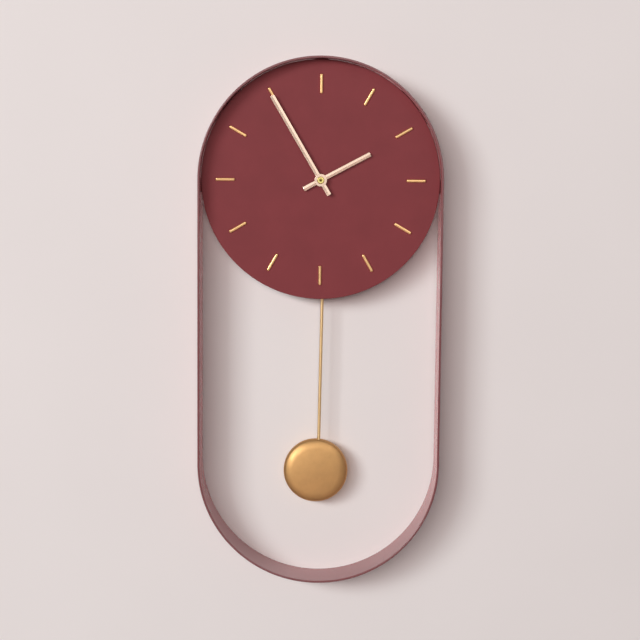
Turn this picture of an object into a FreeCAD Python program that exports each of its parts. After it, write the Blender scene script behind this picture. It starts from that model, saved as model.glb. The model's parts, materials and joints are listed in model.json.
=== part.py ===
import FreeCAD, Part
import math
import os

# Pendulum wall clock: a steel band bent into a tall loop, a round dial with twelve applied bars,
# two hands, a quartz movement behind the dial, and a rod pendulum with a domed bob.
#
# Millimetres. +X is right and +Z is up as the clock is seen, and +Y goes into the wall.
# The wall is the plane y = 0, and the whole clock lies in front of it, at y <= 0.
# The origin is where the shank of the wall screw rests in the keyhole slot.
# Shapes are drawn about the dial centre, and save() moves them to that origin.
# Depths are y values. A front value is always the lower one of a pair.

# Frame band
FRAME_WIDTH = 230.0
FRAME_HEIGHT = 500.0
FRAME_DEPTH = 44.0
BAND_THICK = 2.0
BAND_EDGE = 0.4             # rounding along the band's edges
HANG_HEIGHT = 70.0          # wall screw above the dial centre

# Dial and its bars
DIAL_GAP = 0.6              # dark seam between the dial and the band
DIAL_RECESS = 14.0          # dial face behind the band's front edge
DIAL_THICK = 1.5
BAR_COUNT = 12
BAR_CENTRE = 89.9           # middle of a bar from the dial centre
BAR_LENGTH = 18.8
BAR_WIDTH = 3.0
BAR_RISE = 1.6
BAR_FOOT_RADIUS = 0.5
BAR_FOOT_SPREAD = 5.0       # each foot from the middle of its bar

# Hands, at five minutes to two
HOUR_ANGLE = 61.9           # clockwise from twelve, in degrees
MINUTE_ANGLE = -30.5
HOUR_TIP = 52.6
HOUR_TAIL = 18.2
MINUTE_TIP = 90.8
MINUTE_TAIL = 16.2
HAND_WIDTH = 4.3
HAND_EDGE = 0.35            # blade thickness at its edges
HAND_RIDGE = 0.75           # blade thickness along its middle
HAND_BOSS_RADIUS = 5.9
HAND_NUT_RADIUS = 3.5

# Movement housing
CASE_HALF_WIDTH = 28.0
CASE_TOP = 36.0
CASE_BOTTOM = -76.0
CASE_WALL = 1.5
CASE_CORNER = 4.0
GASKET_THICK = 1.0
CASE_DEPTH = 16.5           # front shell without its cover
COVER_THICK = 1.5
COVER_SCREW_X = 22.8
COVER_SCREW_Z = (14.8, -71.5)

# Arbors and the clearance that they turn in
RUN = 0.03                  # radial play of the small pivots
MINUTE_SHAFT_RADIUS = 1.5
HOUR_PIPE_RADIUS = 2.5
BUSHING_RADIUS = 4.0
PILLARS = ((-17.0, -6.0), (0.0, -14.0), (4.0, 14.0))
PILLAR_RADIUS = 1.5
PLATE_SCREW_RADIUS = 0.8

# Wheels: teeth and module
HANDS_MODULE = 0.25
CANNON_TEETH = 15
MINUTE_WHEEL_TEETH = 45
MINUTE_PINION_TEETH = 12
HOUR_WHEEL_TEETH = 48
SET_PINION_TEETH = 15
PINION_TEETH = 8
CENTRE_TEETH = 64
THIRD_TEETH = 60
THIRD_MODULE = 0.25
FOURTH_TEETH = 48
INTERMEDIATE_TEETH = 40
FAST_MODULE = 0.2

# Pendulum, drawn plumb and then turned into its swing
PIVOT_Z = -30.0
PENDULUM_Y = -16.5
SWING_NOW = 0.57            # degrees to the left of plumb
HOOK_Z = -88.0              # top of the wire hook, on its centre line
HOOK_RADIUS = 3.4
HOOK_LEG = 5.0
ROD_RADIUS = 1.5
BOB_Z = -280.6
BOB_RADIUS = 31.0
BOB_FRONT = -23.6
BOB_CROWN_RADIUS = 156.0      # flat curve of the face's middle
BOB_CROWN_SLOPE = 8.0         # slope in degrees where the crown meets the shoulder
BOB_SHOULDER_RADIUS = 17.2
BOB_SHOULDER_SLOPE = 33.0     # slope in degrees where the shoulder meets the rounded edge
BOB_RIM_BACK = -14.0
BOB_SKIN = 0.8
ROD_AT_BOB = 2.3            # the rod passes this far to the right of the bob's middle
MAGNET_Z = -60.0

# Hanger and dial brackets
KEYHOLE_RADIUS = 4.5
KEYHOLE_DROP = 9.0          # entry hole below the slot's rounded end
SLOT_RADIUS = 2.5
HANGER_THICK = 1.5
HANGER_BACK = -0.5
HANGER_UP = 12.0
HANGER_DOWN = 20.0
BRACKET_WIDTH = 12.0
BRACKET_THICK = 1.5
BRACKET_REACH = 18.0        # leg along the dial
BRACKET_DEPTH = 24.0        # leg along the band
STUD_INSET = 10.0           # dial studs from the band's inside
STUD_RADIUS = 1.5
STUD_LENGTH = 6.0

# Worked out from the values above
ARC_RADIUS = FRAME_WIDTH / 2
STRAIGHT = FRAME_HEIGHT - FRAME_WIDTH
INNER_RADIUS = ARC_RADIUS - BAND_THICK
DIAL_RADIUS = INNER_RADIUS - DIAL_GAP
DIAL_FRONT = -FRAME_DEPTH + DIAL_RECESS
DIAL_BACK = DIAL_FRONT + DIAL_THICK
CASE_FRONT = DIAL_BACK + GASKET_THICK
INSIDE_FRONT = CASE_FRONT + CASE_WALL
COVER_FRONT = CASE_FRONT + CASE_DEPTH
COVER_BACK = COVER_FRONT + COVER_THICK
HANDS_CENTRES = HANDS_MODULE * (CANNON_TEETH + MINUTE_WHEEL_TEETH) / 2
SET_CENTRES = HANDS_MODULE * (SET_PINION_TEETH + MINUTE_WHEEL_TEETH) / 2
TRAIN_CENTRES = THIRD_MODULE * (PINION_TEETH + THIRD_TEETH) / 2
CENTRE_MODULE = 2 * TRAIN_CENTRES / (CENTRE_TEETH + PINION_TEETH)
FOURTH_CENTRES = FAST_MODULE * (PINION_TEETH + FOURTH_TEETH) / 2
ROTOR_CENTRES = FAST_MODULE * (PINION_TEETH + INTERMEDIATE_TEETH) / 2

# Layers of the movement: (front, back) of each plate and wheel
FLANGE_LAYER = (INSIDE_FRONT, INSIDE_FRONT + 0.6)
HOUR_WHEEL_LAYER = (-25.1, -24.3)
MINUTE_PINION_LAYER = (-25.3, -24.0)
CANNON_LAYER = (-24.0, -22.8)
MINUTE_WHEEL_LAYER = (-23.8, -23.0)
MIDDLE_PLATE_LAYER = (-22.4, -21.4)
CENTRE_LAYER = (-21.0, -20.2)
THIRD_PINION_LAYER = (-21.1, -19.9)
CLUTCH_LAYER = (-20.15, -19.95)
THIRD_LAYER = (-19.5, -18.7)
FOURTH_PINION_LAYER = (-19.7, -18.3)
STATOR_LAYER = (-19.6, -18.6)
ROTOR_MAGNET_LAYER = (-19.9, -18.2)
INTERMEDIATE_PINION_LAYER = (-18.1, -16.9)
FOURTH_LAYER = (-17.9, -17.2)
ROTOR_PINION_LAYER = (-16.9, -15.6)
INTERMEDIATE_LAYER = (-16.6, -15.9)
REAR_PLATE_LAYER = (-15.2, -14.2)
BOARD_LAYER = (-14.6, -13.6)
BOB_BACK_LAYER = (BOB_RIM_BACK - 0.9, BOB_RIM_BACK + 0.3)

# Layers in front of the dial
WASHER_LAYER = (DIAL_FRONT - 0.5, DIAL_FRONT)
DIAL_NUT_LAYER = (DIAL_FRONT - 2.5, DIAL_FRONT - 0.5)
BUSHING_FRONT = DIAL_FRONT - 2.8
HOUR_HAND_LAYER = (DIAL_FRONT - 3.9, DIAL_FRONT - 3.1)
HOUR_PIPE_FRONT = DIAL_FRONT - 4.4
MINUTE_HAND_LAYER = (DIAL_FRONT - 5.6, DIAL_FRONT - 4.8)
MINUTE_SHAFT_FRONT = DIAL_FRONT - 7.2
HAND_NUT_LAYER = (DIAL_FRONT - 7.9, DIAL_FRONT - 5.6)


def vec(x, y, z):
    return FreeCAD.Vector(x, y, z)


def on_circle(centre, radius, degrees):
    """Point (x, z) at an angle from +X towards +Z, seen from the front."""
    angle = math.radians(degrees)
    return (centre[0] + radius * math.cos(angle), centre[1] + radius * math.sin(angle))


CENTRE = (0.0, 0.0)
MINUTE_WHEEL_AXIS = on_circle(CENTRE, HANDS_CENTRES, 180)
SET_AXIS = on_circle(MINUTE_WHEEL_AXIS, SET_CENTRES, -110)
THIRD_AXIS = on_circle(CENTRE, TRAIN_CENTRES, 150)
INTERMEDIATE_AXIS = on_circle(CENTRE, FOURTH_CENTRES, -20)
ROTOR_AXIS = on_circle(INTERMEDIATE_AXIS, ROTOR_CENTRES, 20)


def save(name, shape):
    """Write one node, moved so that the screw rest becomes the origin."""
    placed = shape.copy()
    placed.translate(vec(0, 0, -HANG_HEIGHT))
    placed.exportStep("parts/" + name + ".step")


def disc(radius, layer, centre=CENTRE):
    front, back = layer
    return Part.makeCylinder(radius, back - front, vec(centre[0], front, centre[1]), vec(0, 1, 0))


def ring(outer, inner, layer, centre=CENTRE):
    front, back = layer
    return disc(outer, layer, centre).cut(disc(inner, (front - 1, back + 1), centre))


def block(x_range, layer, z_range):
    size = (x_range[1] - x_range[0], layer[1] - layer[0], z_range[1] - z_range[0])
    return Part.makeBox(size[0], size[1], size[2], vec(x_range[0], layer[0], z_range[0]))


def prism(points, layer):
    """Closed outline of (x, z) points, pushed through a layer."""
    front, back = layer
    corners = [vec(x, front, z) for x, z in points]
    face = Part.Face(Part.makePolygon(corners + corners[:1]))
    return face.extrude(vec(0, back - front, 0))


def joined(shapes):
    return shapes[0].multiFuse(shapes[1:]).removeSplitter()


def without(shape, cutters):
    return shape.cut(Part.makeCompound(cutters))


def spun(profile, centre=CENTRE):
    """Turn a closed outline of (radius, y) points about an axis along Y."""
    corners = [vec(radius, y, 0) for radius, y in profile]
    face = Part.Face(Part.makePolygon(corners + corners[:1]))
    solid = face.revolve(vec(0, 0, 0), vec(0, 1, 0), 360)
    solid.translate(vec(centre[0], 0, centre[1]))
    return solid


def turned(shape, clockwise, centre=CENTRE):
    """Turn a shape clockwise, seen from the front, about an axis along Y."""
    copy = shape.copy()
    copy.rotate(vec(centre[0], 0, centre[1]), vec(0, 1, 0), clockwise)
    return copy


def on_pendulum(shape):
    return turned(shape, SWING_NOW, (0, PIVOT_Z))


# ---------------------------------------------------------------- toothed wheels

def toothed(teeth, module, layer, centre, phase, pinion=False):
    """Toothed disc. Clock wheels have pointed teeth, and pinions have slim radial leaves."""
    pitch_radius = module * teeth / 2
    pitch = math.pi * module
    half = pitch * (0.17 if pinion else 0.21)
    tip = module * (0.7 if pinion else 1.0)
    levels = (
        (pitch_radius - 1.25 * module, half * (1 - 1.25 * module / pitch_radius)),
        (pitch_radius, half),
        (pitch_radius + 0.55 * tip, half * 0.72),
        (pitch_radius + tip, half * 0.25),
    )
    outline = []
    for tooth in range(teeth):
        middle = phase + math.radians(360 * tooth / teeth)
        flank = [(radius, width / radius) for radius, width in levels]
        rising = [(radius, middle - turn) for radius, turn in flank]
        falling = [(radius, middle + turn) for radius, turn in reversed(flank)]
        outline += rising + falling
    points = [(centre[0] + r * math.cos(a), centre[1] + r * math.sin(a)) for r, a in outline]
    return prism(points, layer)


def meshed_phase(driver_teeth, driver_phase, driver_axis, teeth, axis):
    """Phase of a wheel whose teeth stand in the gaps of the driver's."""
    toward = math.atan2(axis[1] - driver_axis[1], axis[0] - driver_axis[0])
    driver_share = (toward - driver_phase) * driver_teeth / (2 * math.pi)
    pitch_angle = 2 * math.pi / teeth
    return toward + math.pi - pitch_angle * (0.5 - driver_share)


def phases():
    """Phase of each toothed part, from the fourth wheel and the cannon pinion outwards."""
    turn = {"fourth": 0.0, "fourth_pinion": 0.0, "cannon": 0.0}
    turn["third"] = meshed_phase(PINION_TEETH, 0.0, CENTRE, THIRD_TEETH, THIRD_AXIS)
    turn["third_pinion"] = turn["third"]
    turn["centre"] = meshed_phase(PINION_TEETH, turn["third_pinion"], THIRD_AXIS, CENTRE_TEETH, CENTRE)
    turn["intermediate_pinion"] = meshed_phase(FOURTH_TEETH, 0.0, CENTRE, PINION_TEETH, INTERMEDIATE_AXIS)
    turn["intermediate"] = turn["intermediate_pinion"]
    turn["rotor"] = meshed_phase(
        INTERMEDIATE_TEETH, turn["intermediate"], INTERMEDIATE_AXIS, PINION_TEETH, ROTOR_AXIS)
    turn["minute"] = meshed_phase(CANNON_TEETH, 0.0, CENTRE, MINUTE_WHEEL_TEETH, MINUTE_WHEEL_AXIS)
    turn["minute_pinion"] = turn["minute"]
    turn["hour"] = meshed_phase(
        MINUTE_PINION_TEETH, turn["minute_pinion"], MINUTE_WHEEL_AXIS, HOUR_WHEEL_TEETH, CENTRE)
    turn["set"] = meshed_phase(
        MINUTE_WHEEL_TEETH, turn["minute"], MINUTE_WHEEL_AXIS, SET_PINION_TEETH, SET_AXIS)
    return turn


PHASES = phases()


# ---------------------------------------------------------------- frame, dial and hanger

def stadium(radius, layer):
    """Tall loop outline with round ends, its upper centre on the dial centre, pushed through."""
    front, back = layer
    right = vec(radius, front, 0)
    left = vec(-radius, front, 0)
    low_right = vec(radius, front, -STRAIGHT)
    low_left = vec(-radius, front, -STRAIGHT)
    edges = [
        Part.Arc(left, vec(0, front, radius), right).toShape(),
        Part.LineSegment(right, low_right).toShape(),
        Part.Arc(low_right, vec(0, front, -STRAIGHT - radius), low_left).toShape(),
        Part.LineSegment(low_left, left).toShape(),
    ]
    return Part.Face(Part.Wire(edges)).extrude(vec(0, back - front, 0))


def frame_band():
    layer = (-FRAME_DEPTH, 0.0)
    band = stadium(ARC_RADIUS, layer).cut(stadium(INNER_RADIUS, layer))
    rims = [edge for edge in band.Edges if edge.BoundBox.YLength < 0.01]
    return band.makeFillet(BAND_EDGE, rims)


def bar_feet(radius, layer):
    """Two short pins under the twelve o'clock bar."""
    offsets = (-BAR_FOOT_SPREAD, BAR_FOOT_SPREAD)
    return [disc(radius, layer, (0, BAR_CENTRE + offset)) for offset in offsets]


def index_bar(hour):
    """Half-round bar with round ends, standing on the dial on two feet."""
    radius = BAR_WIDTH / 2
    axis_y = DIAL_FRONT - (BAR_RISE - radius)
    reach = BAR_LENGTH / 2 - radius
    low = vec(0, axis_y, BAR_CENTRE - reach)
    high = vec(0, axis_y, BAR_CENTRE + reach)
    core = Part.makeCylinder(radius, 2 * reach, low, vec(0, 0, 1))
    capsule = joined([core, Part.makeSphere(radius, low), Part.makeSphere(radius, high)])
    behind = block((-5, 5), (DIAL_FRONT, DIAL_BACK + 5), (BAR_CENTRE - 15, BAR_CENTRE + 15))
    feet = bar_feet(BAR_FOOT_RADIUS, (DIAL_FRONT - 0.5, DIAL_BACK))
    bar = joined([capsule.cut(behind)] + feet)
    return turned(bar, hour * 360 / BAR_COUNT)


def stud_centres():
    """Places of the studs behind the dial, one for each bracket: left, right and top."""
    side = INNER_RADIUS - STUD_INSET
    height = -BRACKET_WIDTH / 2
    return ((-side, height), (side, height), (0, side))


def dial_plate():
    layer = (DIAL_FRONT, DIAL_BACK)
    plate = disc(DIAL_RADIUS, layer)
    holes = [disc(BUSHING_RADIUS + 0.2, (DIAL_FRONT - 1, DIAL_BACK + 1))]
    for hour in range(BAR_COUNT):
        feet = bar_feet(BAR_FOOT_RADIUS + 0.05, (DIAL_FRONT - 1, DIAL_BACK + 1))
        holes += [turned(foot, hour * 360 / BAR_COUNT) for foot in feet]
    return without(plate, holes)


def dial_studs():
    """Threaded studs welded to the back of the dial."""
    layer = (DIAL_BACK, DIAL_BACK + STUD_LENGTH)
    return Part.makeCompound([disc(STUD_RADIUS, layer, at) for at in stud_centres()])


def dial_bracket(degrees):
    """Angle bracket, drawn at the top of the band and turned to its place by the caller."""
    half = BRACKET_WIDTH / 2
    rise = (INNER_RADIUS - BRACKET_REACH, INNER_RADIUS)
    leg = block((-half, half), (DIAL_BACK, DIAL_BACK + BRACKET_THICK), rise)
    wall = block((-half, half), (DIAL_BACK, DIAL_BACK + BRACKET_DEPTH), (rise[1] - BRACKET_THICK, rise[1]))
    hole = disc(STUD_RADIUS + 0.2, (DIAL_BACK - 1, DIAL_BACK + 5), (0, INNER_RADIUS - STUD_INSET))
    return turned(joined([leg, wall]).cut(hole), degrees)


def top_bracket():
    """The top bracket's outer leg is bent to the band's curve."""
    half = BRACKET_WIDTH / 2
    flat = dial_bracket(0)
    layer = (DIAL_BACK, DIAL_BACK + BRACKET_DEPTH)
    curve = ring(INNER_RADIUS, INNER_RADIUS - BRACKET_THICK, layer)
    strip = block((-half, half), layer, (INNER_RADIUS - 5, INNER_RADIUS + 1))
    leg = flat.common(block((-half, half), (DIAL_BACK, DIAL_BACK + BRACKET_THICK), (0, 200)))
    leg = leg.common(disc(INNER_RADIUS, layer))
    return joined([leg, curve.common(strip)])


def side_bracket(side):
    """side is -1 for the left bracket and 1 for the right one."""
    bracket = dial_bracket(90 * side)
    bracket.translate(vec(0, 0, -BRACKET_WIDTH / 2))
    return bracket


def bracket_nuts():
    layer = (DIAL_BACK + BRACKET_THICK, DIAL_BACK + BRACKET_THICK + 2.4)
    nuts = [hexagon(5.5, layer, at).cut(disc(STUD_RADIUS, layer, at)) for at in stud_centres()]
    return Part.makeCompound(nuts)


def hexagon(across_flats, layer, centre=CENTRE):
    radius = across_flats / math.sqrt(3)
    return prism([on_circle(centre, radius, 60 * side) for side in range(6)], layer)


def hanger_bar():
    """Flat bar welded inside the back of the band, with the keyhole in its middle."""
    layer = (HANGER_BACK - HANGER_THICK, HANGER_BACK)
    through = (layer[0] - 1, layer[1] + 1)
    z_range = (HANG_HEIGHT - HANGER_DOWN, HANG_HEIGHT + HANGER_UP)
    bar = disc(INNER_RADIUS, layer).common(block((-ARC_RADIUS, ARC_RADIUS), layer, z_range))
    entry = disc(KEYHOLE_RADIUS, through, (0, HANG_HEIGHT - KEYHOLE_DROP))
    slot = block((-SLOT_RADIUS, SLOT_RADIUS), through, (HANG_HEIGHT - KEYHOLE_DROP, HANG_HEIGHT))
    end = disc(SLOT_RADIUS, through, (0, HANG_HEIGHT))
    return without(bar, [joined([entry, slot, end])])


# ---------------------------------------------------------------- hands

def blade(tip, tail, back):
    """Straight blade at twelve o'clock, ridged along its middle, with its flat side at y = back."""
    half = HAND_WIDTH / 2
    section = [
        vec(-half, back, -tail),
        vec(-half, back - HAND_EDGE, -tail),
        vec(0, back - HAND_RIDGE, -tail),
        vec(half, back - HAND_EDGE, -tail),
        vec(half, back, -tail),
    ]
    face = Part.Face(Part.makePolygon(section + section[:1]))
    return face.extrude(vec(0, 0, tip + tail))


def hand(tip, tail, layer, bore):
    front, back = layer
    shape = joined([blade(tip, tail, back), disc(HAND_BOSS_RADIUS, layer)])
    return shape.cut(disc(bore, (front - 1, back + 1)))


def hour_hand():
    return turned(hand(HOUR_TIP, HOUR_TAIL, HOUR_HAND_LAYER, HOUR_PIPE_RADIUS), HOUR_ANGLE)


def minute_hand():
    return turned(hand(MINUTE_TIP, MINUTE_TAIL, MINUTE_HAND_LAYER, MINUTE_SHAFT_RADIUS), MINUTE_ANGLE)


def hand_nut():
    """Round brass nut, with a small open eye over the end of the minute shaft."""
    front, back = HAND_NUT_LAYER
    profile = [
        (MINUTE_SHAFT_RADIUS, back),
        (HAND_NUT_RADIUS, back),
        (HAND_NUT_RADIUS, front + 0.7),
        (HAND_NUT_RADIUS - 0.7, front),
        (1.4, front),
        (1.0, front + 0.3),
        (1.0, MINUTE_SHAFT_FRONT - 0.1),
        (MINUTE_SHAFT_RADIUS, MINUTE_SHAFT_FRONT - 0.1),
    ]
    return spun(profile)


def dial_nut():
    nut = hexagon(10.0, DIAL_NUT_LAYER)
    return nut.cut(disc(BUSHING_RADIUS, DIAL_NUT_LAYER))


# ---------------------------------------------------------------- movement housing

def rounded_box(half_width, layer, z_range, corner):
    box = block((-half_width, half_width), layer, z_range)
    corners = [edge for edge in box.Edges if edge.BoundBox.YLength > 1]
    return box.makeFillet(corner, corners)


def screw_posts():
    return [(side * COVER_SCREW_X, height) for side in (-1, 1) for height in COVER_SCREW_Z]


def movement_case():
    """Front shell: a box open at the back, with the posts that carry the works."""
    z_range = (CASE_BOTTOM, CASE_TOP)
    inner_z = (CASE_BOTTOM + CASE_WALL, CASE_TOP - CASE_WALL)
    inner_half = CASE_HALF_WIDTH - CASE_WALL
    outer = rounded_box(CASE_HALF_WIDTH, (CASE_FRONT, COVER_FRONT), z_range, CASE_CORNER)
    hollow = rounded_box(inner_half, (INSIDE_FRONT, COVER_FRONT + 1), inner_z, CASE_CORNER - CASE_WALL)
    shell = outer.cut(hollow)
    root = INSIDE_FRONT - 0.5
    posts = [disc(2.6, (root, COVER_FRONT), at) for at in screw_posts()]
    posts += [disc(2.0, (root, MIDDLE_PLATE_LAYER[0]), at) for at in PILLARS]
    posts += [disc(1.3, (root, STATOR_LAYER[0]), at) for at in ((16.0, 9.5), (16.0, -9.5))]
    posts += [disc(1.5, (root, BOARD_LAYER[0]), at) for at in ((17.0, -15.5), (23.5, -15.5))]
    posts.append(disc(3.0, (root, PENDULUM_Y - 4.5), (0, PIVOT_Z)))
    posts.append(disc(3.4, (root, -21.5), (0, MAGNET_Z)))
    posts.append(block((-inner_half - 0.5, 25.2), (root, COVER_FRONT), (18.4, 19.4)))
    body = joined([shell] + posts)
    through = (CASE_FRONT - 1, INSIDE_FRONT + 1)
    slot = block((-9, 9), (PENDULUM_Y - 5, COVER_FRONT + 1), (CASE_BOTTOM - 1, CASE_BOTTOM + CASE_WALL + 1))
    cutters = [disc(BUSHING_RADIUS + 0.1, through), slot]
    cutters += [disc(1.0, (COVER_FRONT - 8, COVER_FRONT + 1), at) for at in screw_posts()]
    screw_hole = (MIDDLE_PLATE_LAYER[0] - 3, MIDDLE_PLATE_LAYER[0] + 1)
    cutters += [disc(PLATE_SCREW_RADIUS, screw_hole, at) for at in PILLARS]
    cutters.append(disc(0.6 + RUN, (INSIDE_FRONT - 0.8, INSIDE_FRONT + 1), MINUTE_WHEEL_AXIS))
    cutters.append(disc(1.0, (INSIDE_FRONT - 0.5, PENDULUM_Y), (0, PIVOT_Z)))
    return without(body, cutters)


def movement_cover():
    """Rear cover, with the battery window, the setting shaft's hole and the pivot boss."""
    layer = (COVER_FRONT, COVER_BACK)
    plate = rounded_box(CASE_HALF_WIDTH, layer, (CASE_BOTTOM, CASE_TOP), CASE_CORNER)
    boss = disc(3.0, (COVER_FRONT - 2.0, COVER_FRONT + 0.5), (0, PIVOT_Z))
    through = (COVER_FRONT - 5, COVER_BACK + 1)
    cutters = [block((-25.4, 25.4), through, (20.0, 34.0))]
    cutters += [disc(1.1, through, at) for at in screw_posts()]
    cutters.append(disc(1.0 + 0.05, through, SET_AXIS))
    cutters.append(disc(1.0, (COVER_FRONT - 3, COVER_FRONT + 0.8), (0, PIVOT_Z)))
    return without(joined([plate, boss]), cutters)


def cover_screws():
    """Four pan-head screws that hold the rear cover."""
    profile = [(0, -17.0), (1.0, -16.0), (1.0, COVER_BACK), (2.0, COVER_BACK), (2.0, COVER_BACK + 0.6),
               (1.2, COVER_BACK + 1.2), (0, COVER_BACK + 1.2)]
    return Part.makeCompound([spun(profile, at) for at in screw_posts()])


def bushing():
    """Threaded bushing that clamps the dial to the movement."""
    tube = disc(BUSHING_RADIUS, (BUSHING_FRONT, FLANGE_LAYER[1]))
    flange = disc(6.0, FLANGE_LAYER)
    bore = disc(HOUR_PIPE_RADIUS + 0.05, (BUSHING_FRONT - 1, FLANGE_LAYER[1] + 1))
    return joined([tube, flange]).cut(bore)


# ---------------------------------------------------------------- plates of the works

def plate_screw_profile():
    start = REAR_PLATE_LAYER[1]
    return [(0, -24.8), (PLATE_SCREW_RADIUS, -24.4), (PLATE_SCREW_RADIUS, start), (1.5, start),
            (1.5, start + 0.8), (0, start + 0.8)]


def plate_outline(x_max, layer):
    return block((-20.0, x_max), layer, (-17.0, 17.0))


def pillar_holes(layer):
    front, back = layer
    return [disc(PLATE_SCREW_RADIUS + 0.1, (front - 1, back + 1), at) for at in PILLARS]


def pivot_hole(radius, axis):
    return disc(radius, (-26.0, -12.0), axis)


def middle_plate():
    """Carries the front pivots of the going train, and the back pivot of the minute wheel."""
    holes = pillar_holes(MIDDLE_PLATE_LAYER)
    holes.append(pivot_hole(MINUTE_SHAFT_RADIUS + 0.05, CENTRE))
    holes.append(pivot_hole(0.6 + RUN, MINUTE_WHEEL_AXIS))
    holes.append(pivot_hole(0.5 + RUN, THIRD_AXIS))
    holes.append(pivot_hole(0.4 + RUN, ROTOR_AXIS))
    holes.append(pivot_hole(1.0 + 0.05, SET_AXIS))
    return without(plate_outline(12.4, MIDDLE_PLATE_LAYER), holes)


def rear_plate():
    """Carries the back pivots, and the fixed post that the intermediate wheel turns on."""
    holes = pillar_holes(REAR_PLATE_LAYER)
    holes.append(pivot_hole(0.4 + RUN, CENTRE))
    holes.append(pivot_hole(0.5 + RUN, THIRD_AXIS))
    holes.append(pivot_hole(0.4 + RUN, ROTOR_AXIS))
    holes.append(pivot_hole(1.0 + 0.05, SET_AXIS))
    plate = without(plate_outline(13.4, REAR_PLATE_LAYER), holes)
    post = disc(0.3, (INTERMEDIATE_PINION_LAYER[0] - 0.2, REAR_PLATE_LAYER[1]), INTERMEDIATE_AXIS)
    return joined([plate, post])


def train_pillars():
    layer = (MIDDLE_PLATE_LAYER[1], REAR_PLATE_LAYER[0])
    return Part.makeCompound([ring(PILLAR_RADIUS, PLATE_SCREW_RADIUS + 0.1, layer, at) for at in PILLARS])


def plate_screws():
    return Part.makeCompound([spun(plate_screw_profile(), at) for at in PILLARS])


# ---------------------------------------------------------------- motion work and going train

def minute_shaft():
    """Shaft of the minute hand, with the cannon pinion and a socket for the fourth arbor."""
    shaft = disc(MINUTE_SHAFT_RADIUS, (MINUTE_SHAFT_FRONT, -19.9))
    pinion = toothed(CANNON_TEETH, HANDS_MODULE, CANNON_LAYER, CENTRE, PHASES["cannon"], True)
    return joined([shaft, pinion]).cut(disc(0.4 + RUN, (-21.5, -19.0)))


def minute_wheel():
    x, z = MINUTE_WHEEL_AXIS
    wheel = toothed(MINUTE_WHEEL_TEETH, HANDS_MODULE, MINUTE_WHEEL_LAYER, (x, z), PHASES["minute"])
    pinion = toothed(
        MINUTE_PINION_TEETH, HANDS_MODULE, MINUTE_PINION_LAYER, (x, z), PHASES["minute_pinion"], True)
    return joined([wheel, pinion, disc(0.6, (-26.6, -21.6), (x, z))])


def hour_wheel():
    """Hour wheel and its pipe, which turns in the bushing and around the minute shaft."""
    wheel = toothed(HOUR_WHEEL_TEETH, HANDS_MODULE, HOUR_WHEEL_LAYER, CENTRE, PHASES["hour"])
    pipe = disc(HOUR_PIPE_RADIUS, (HOUR_PIPE_FRONT, HOUR_WHEEL_LAYER[1]))
    bore = disc(MINUTE_SHAFT_RADIUS + 0.05, (HOUR_PIPE_FRONT - 1, HOUR_WHEEL_LAYER[1] + 1))
    return joined([wheel, pipe]).cut(bore)


def centre_wheel():
    """Turns once an hour, loose on the minute shaft, and drives it through the clutch spring."""
    wheel = toothed(CENTRE_TEETH, CENTRE_MODULE, CENTRE_LAYER, CENTRE, PHASES["centre"])
    return wheel.cut(disc(MINUTE_SHAFT_RADIUS + RUN, (-22.0, -20.0)))


def clutch_spring():
    """Three-armed spring washer, fixed on the minute shaft behind the centre wheel."""
    hub = disc(2.2, CLUTCH_LAYER)
    arms = [turned(block((-0.6, 0.6), CLUTCH_LAYER, (0, 5.0)), 120 * arm) for arm in range(3)]
    return joined([hub] + arms).cut(disc(MINUTE_SHAFT_RADIUS, (-21.0, -19.0)))


def third_wheel():
    wheel = toothed(THIRD_TEETH, THIRD_MODULE, THIRD_LAYER, THIRD_AXIS, PHASES["third"])
    pinion = toothed(
        PINION_TEETH, CENTRE_MODULE, THIRD_PINION_LAYER, THIRD_AXIS, PHASES["third_pinion"], True)
    return joined([wheel, pinion, disc(0.5, (-21.9, -14.6), THIRD_AXIS)])


def fourth_wheel():
    wheel = toothed(FOURTH_TEETH, FAST_MODULE, FOURTH_LAYER, CENTRE, PHASES["fourth"])
    pinion = toothed(
        PINION_TEETH, THIRD_MODULE, FOURTH_PINION_LAYER, CENTRE, PHASES["fourth_pinion"], True)
    return joined([wheel, pinion, disc(0.4, (-21.2, -14.6))])


def intermediate_wheel():
    axis = INTERMEDIATE_AXIS
    wheel = toothed(INTERMEDIATE_TEETH, FAST_MODULE, INTERMEDIATE_LAYER, axis, PHASES["intermediate"])
    pinion_phase = PHASES["intermediate_pinion"]
    pinion = toothed(PINION_TEETH, FAST_MODULE, INTERMEDIATE_PINION_LAYER, axis, pinion_phase, True)
    hub = disc(0.53, (INTERMEDIATE_PINION_LAYER[0], INTERMEDIATE_LAYER[1]), axis)
    return joined([wheel, pinion, hub]).cut(pivot_hole(0.3 + RUN, axis))


def rotor():
    """Magnet disc and pinion of the stepping motor, on one arbor."""
    magnet = disc(3.0, ROTOR_MAGNET_LAYER, ROTOR_AXIS)
    pinion = toothed(PINION_TEETH, FAST_MODULE, ROTOR_PINION_LAYER, ROTOR_AXIS, PHASES["rotor"], True)
    return joined([magnet, pinion, disc(0.4, (-21.9, -14.6), ROTOR_AXIS)])


def set_knob():
    """Fluted knob at the back, with the shaft and pinion that set the hands."""
    pinion = toothed(SET_PINION_TEETH, HANDS_MODULE, CANNON_LAYER, SET_AXIS, PHASES["set"], True)
    shaft = disc(1.0, (-24.5, COVER_BACK + 0.5), SET_AXIS)
    knob_layer = (COVER_BACK + 0.3, COVER_BACK + 4.0)
    knob = disc(6.0, knob_layer, SET_AXIS)
    flutes = [disc(0.6, knob_layer, on_circle(SET_AXIS, 6.2, 20 * flute)) for flute in range(18)]
    return joined([pinion, shaft, without(knob, flutes)])


# ---------------------------------------------------------------- motor, board and battery

COIL_X = 19.5
COIL_Y = (STATOR_LAYER[0] + STATOR_LAYER[1]) / 2


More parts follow.
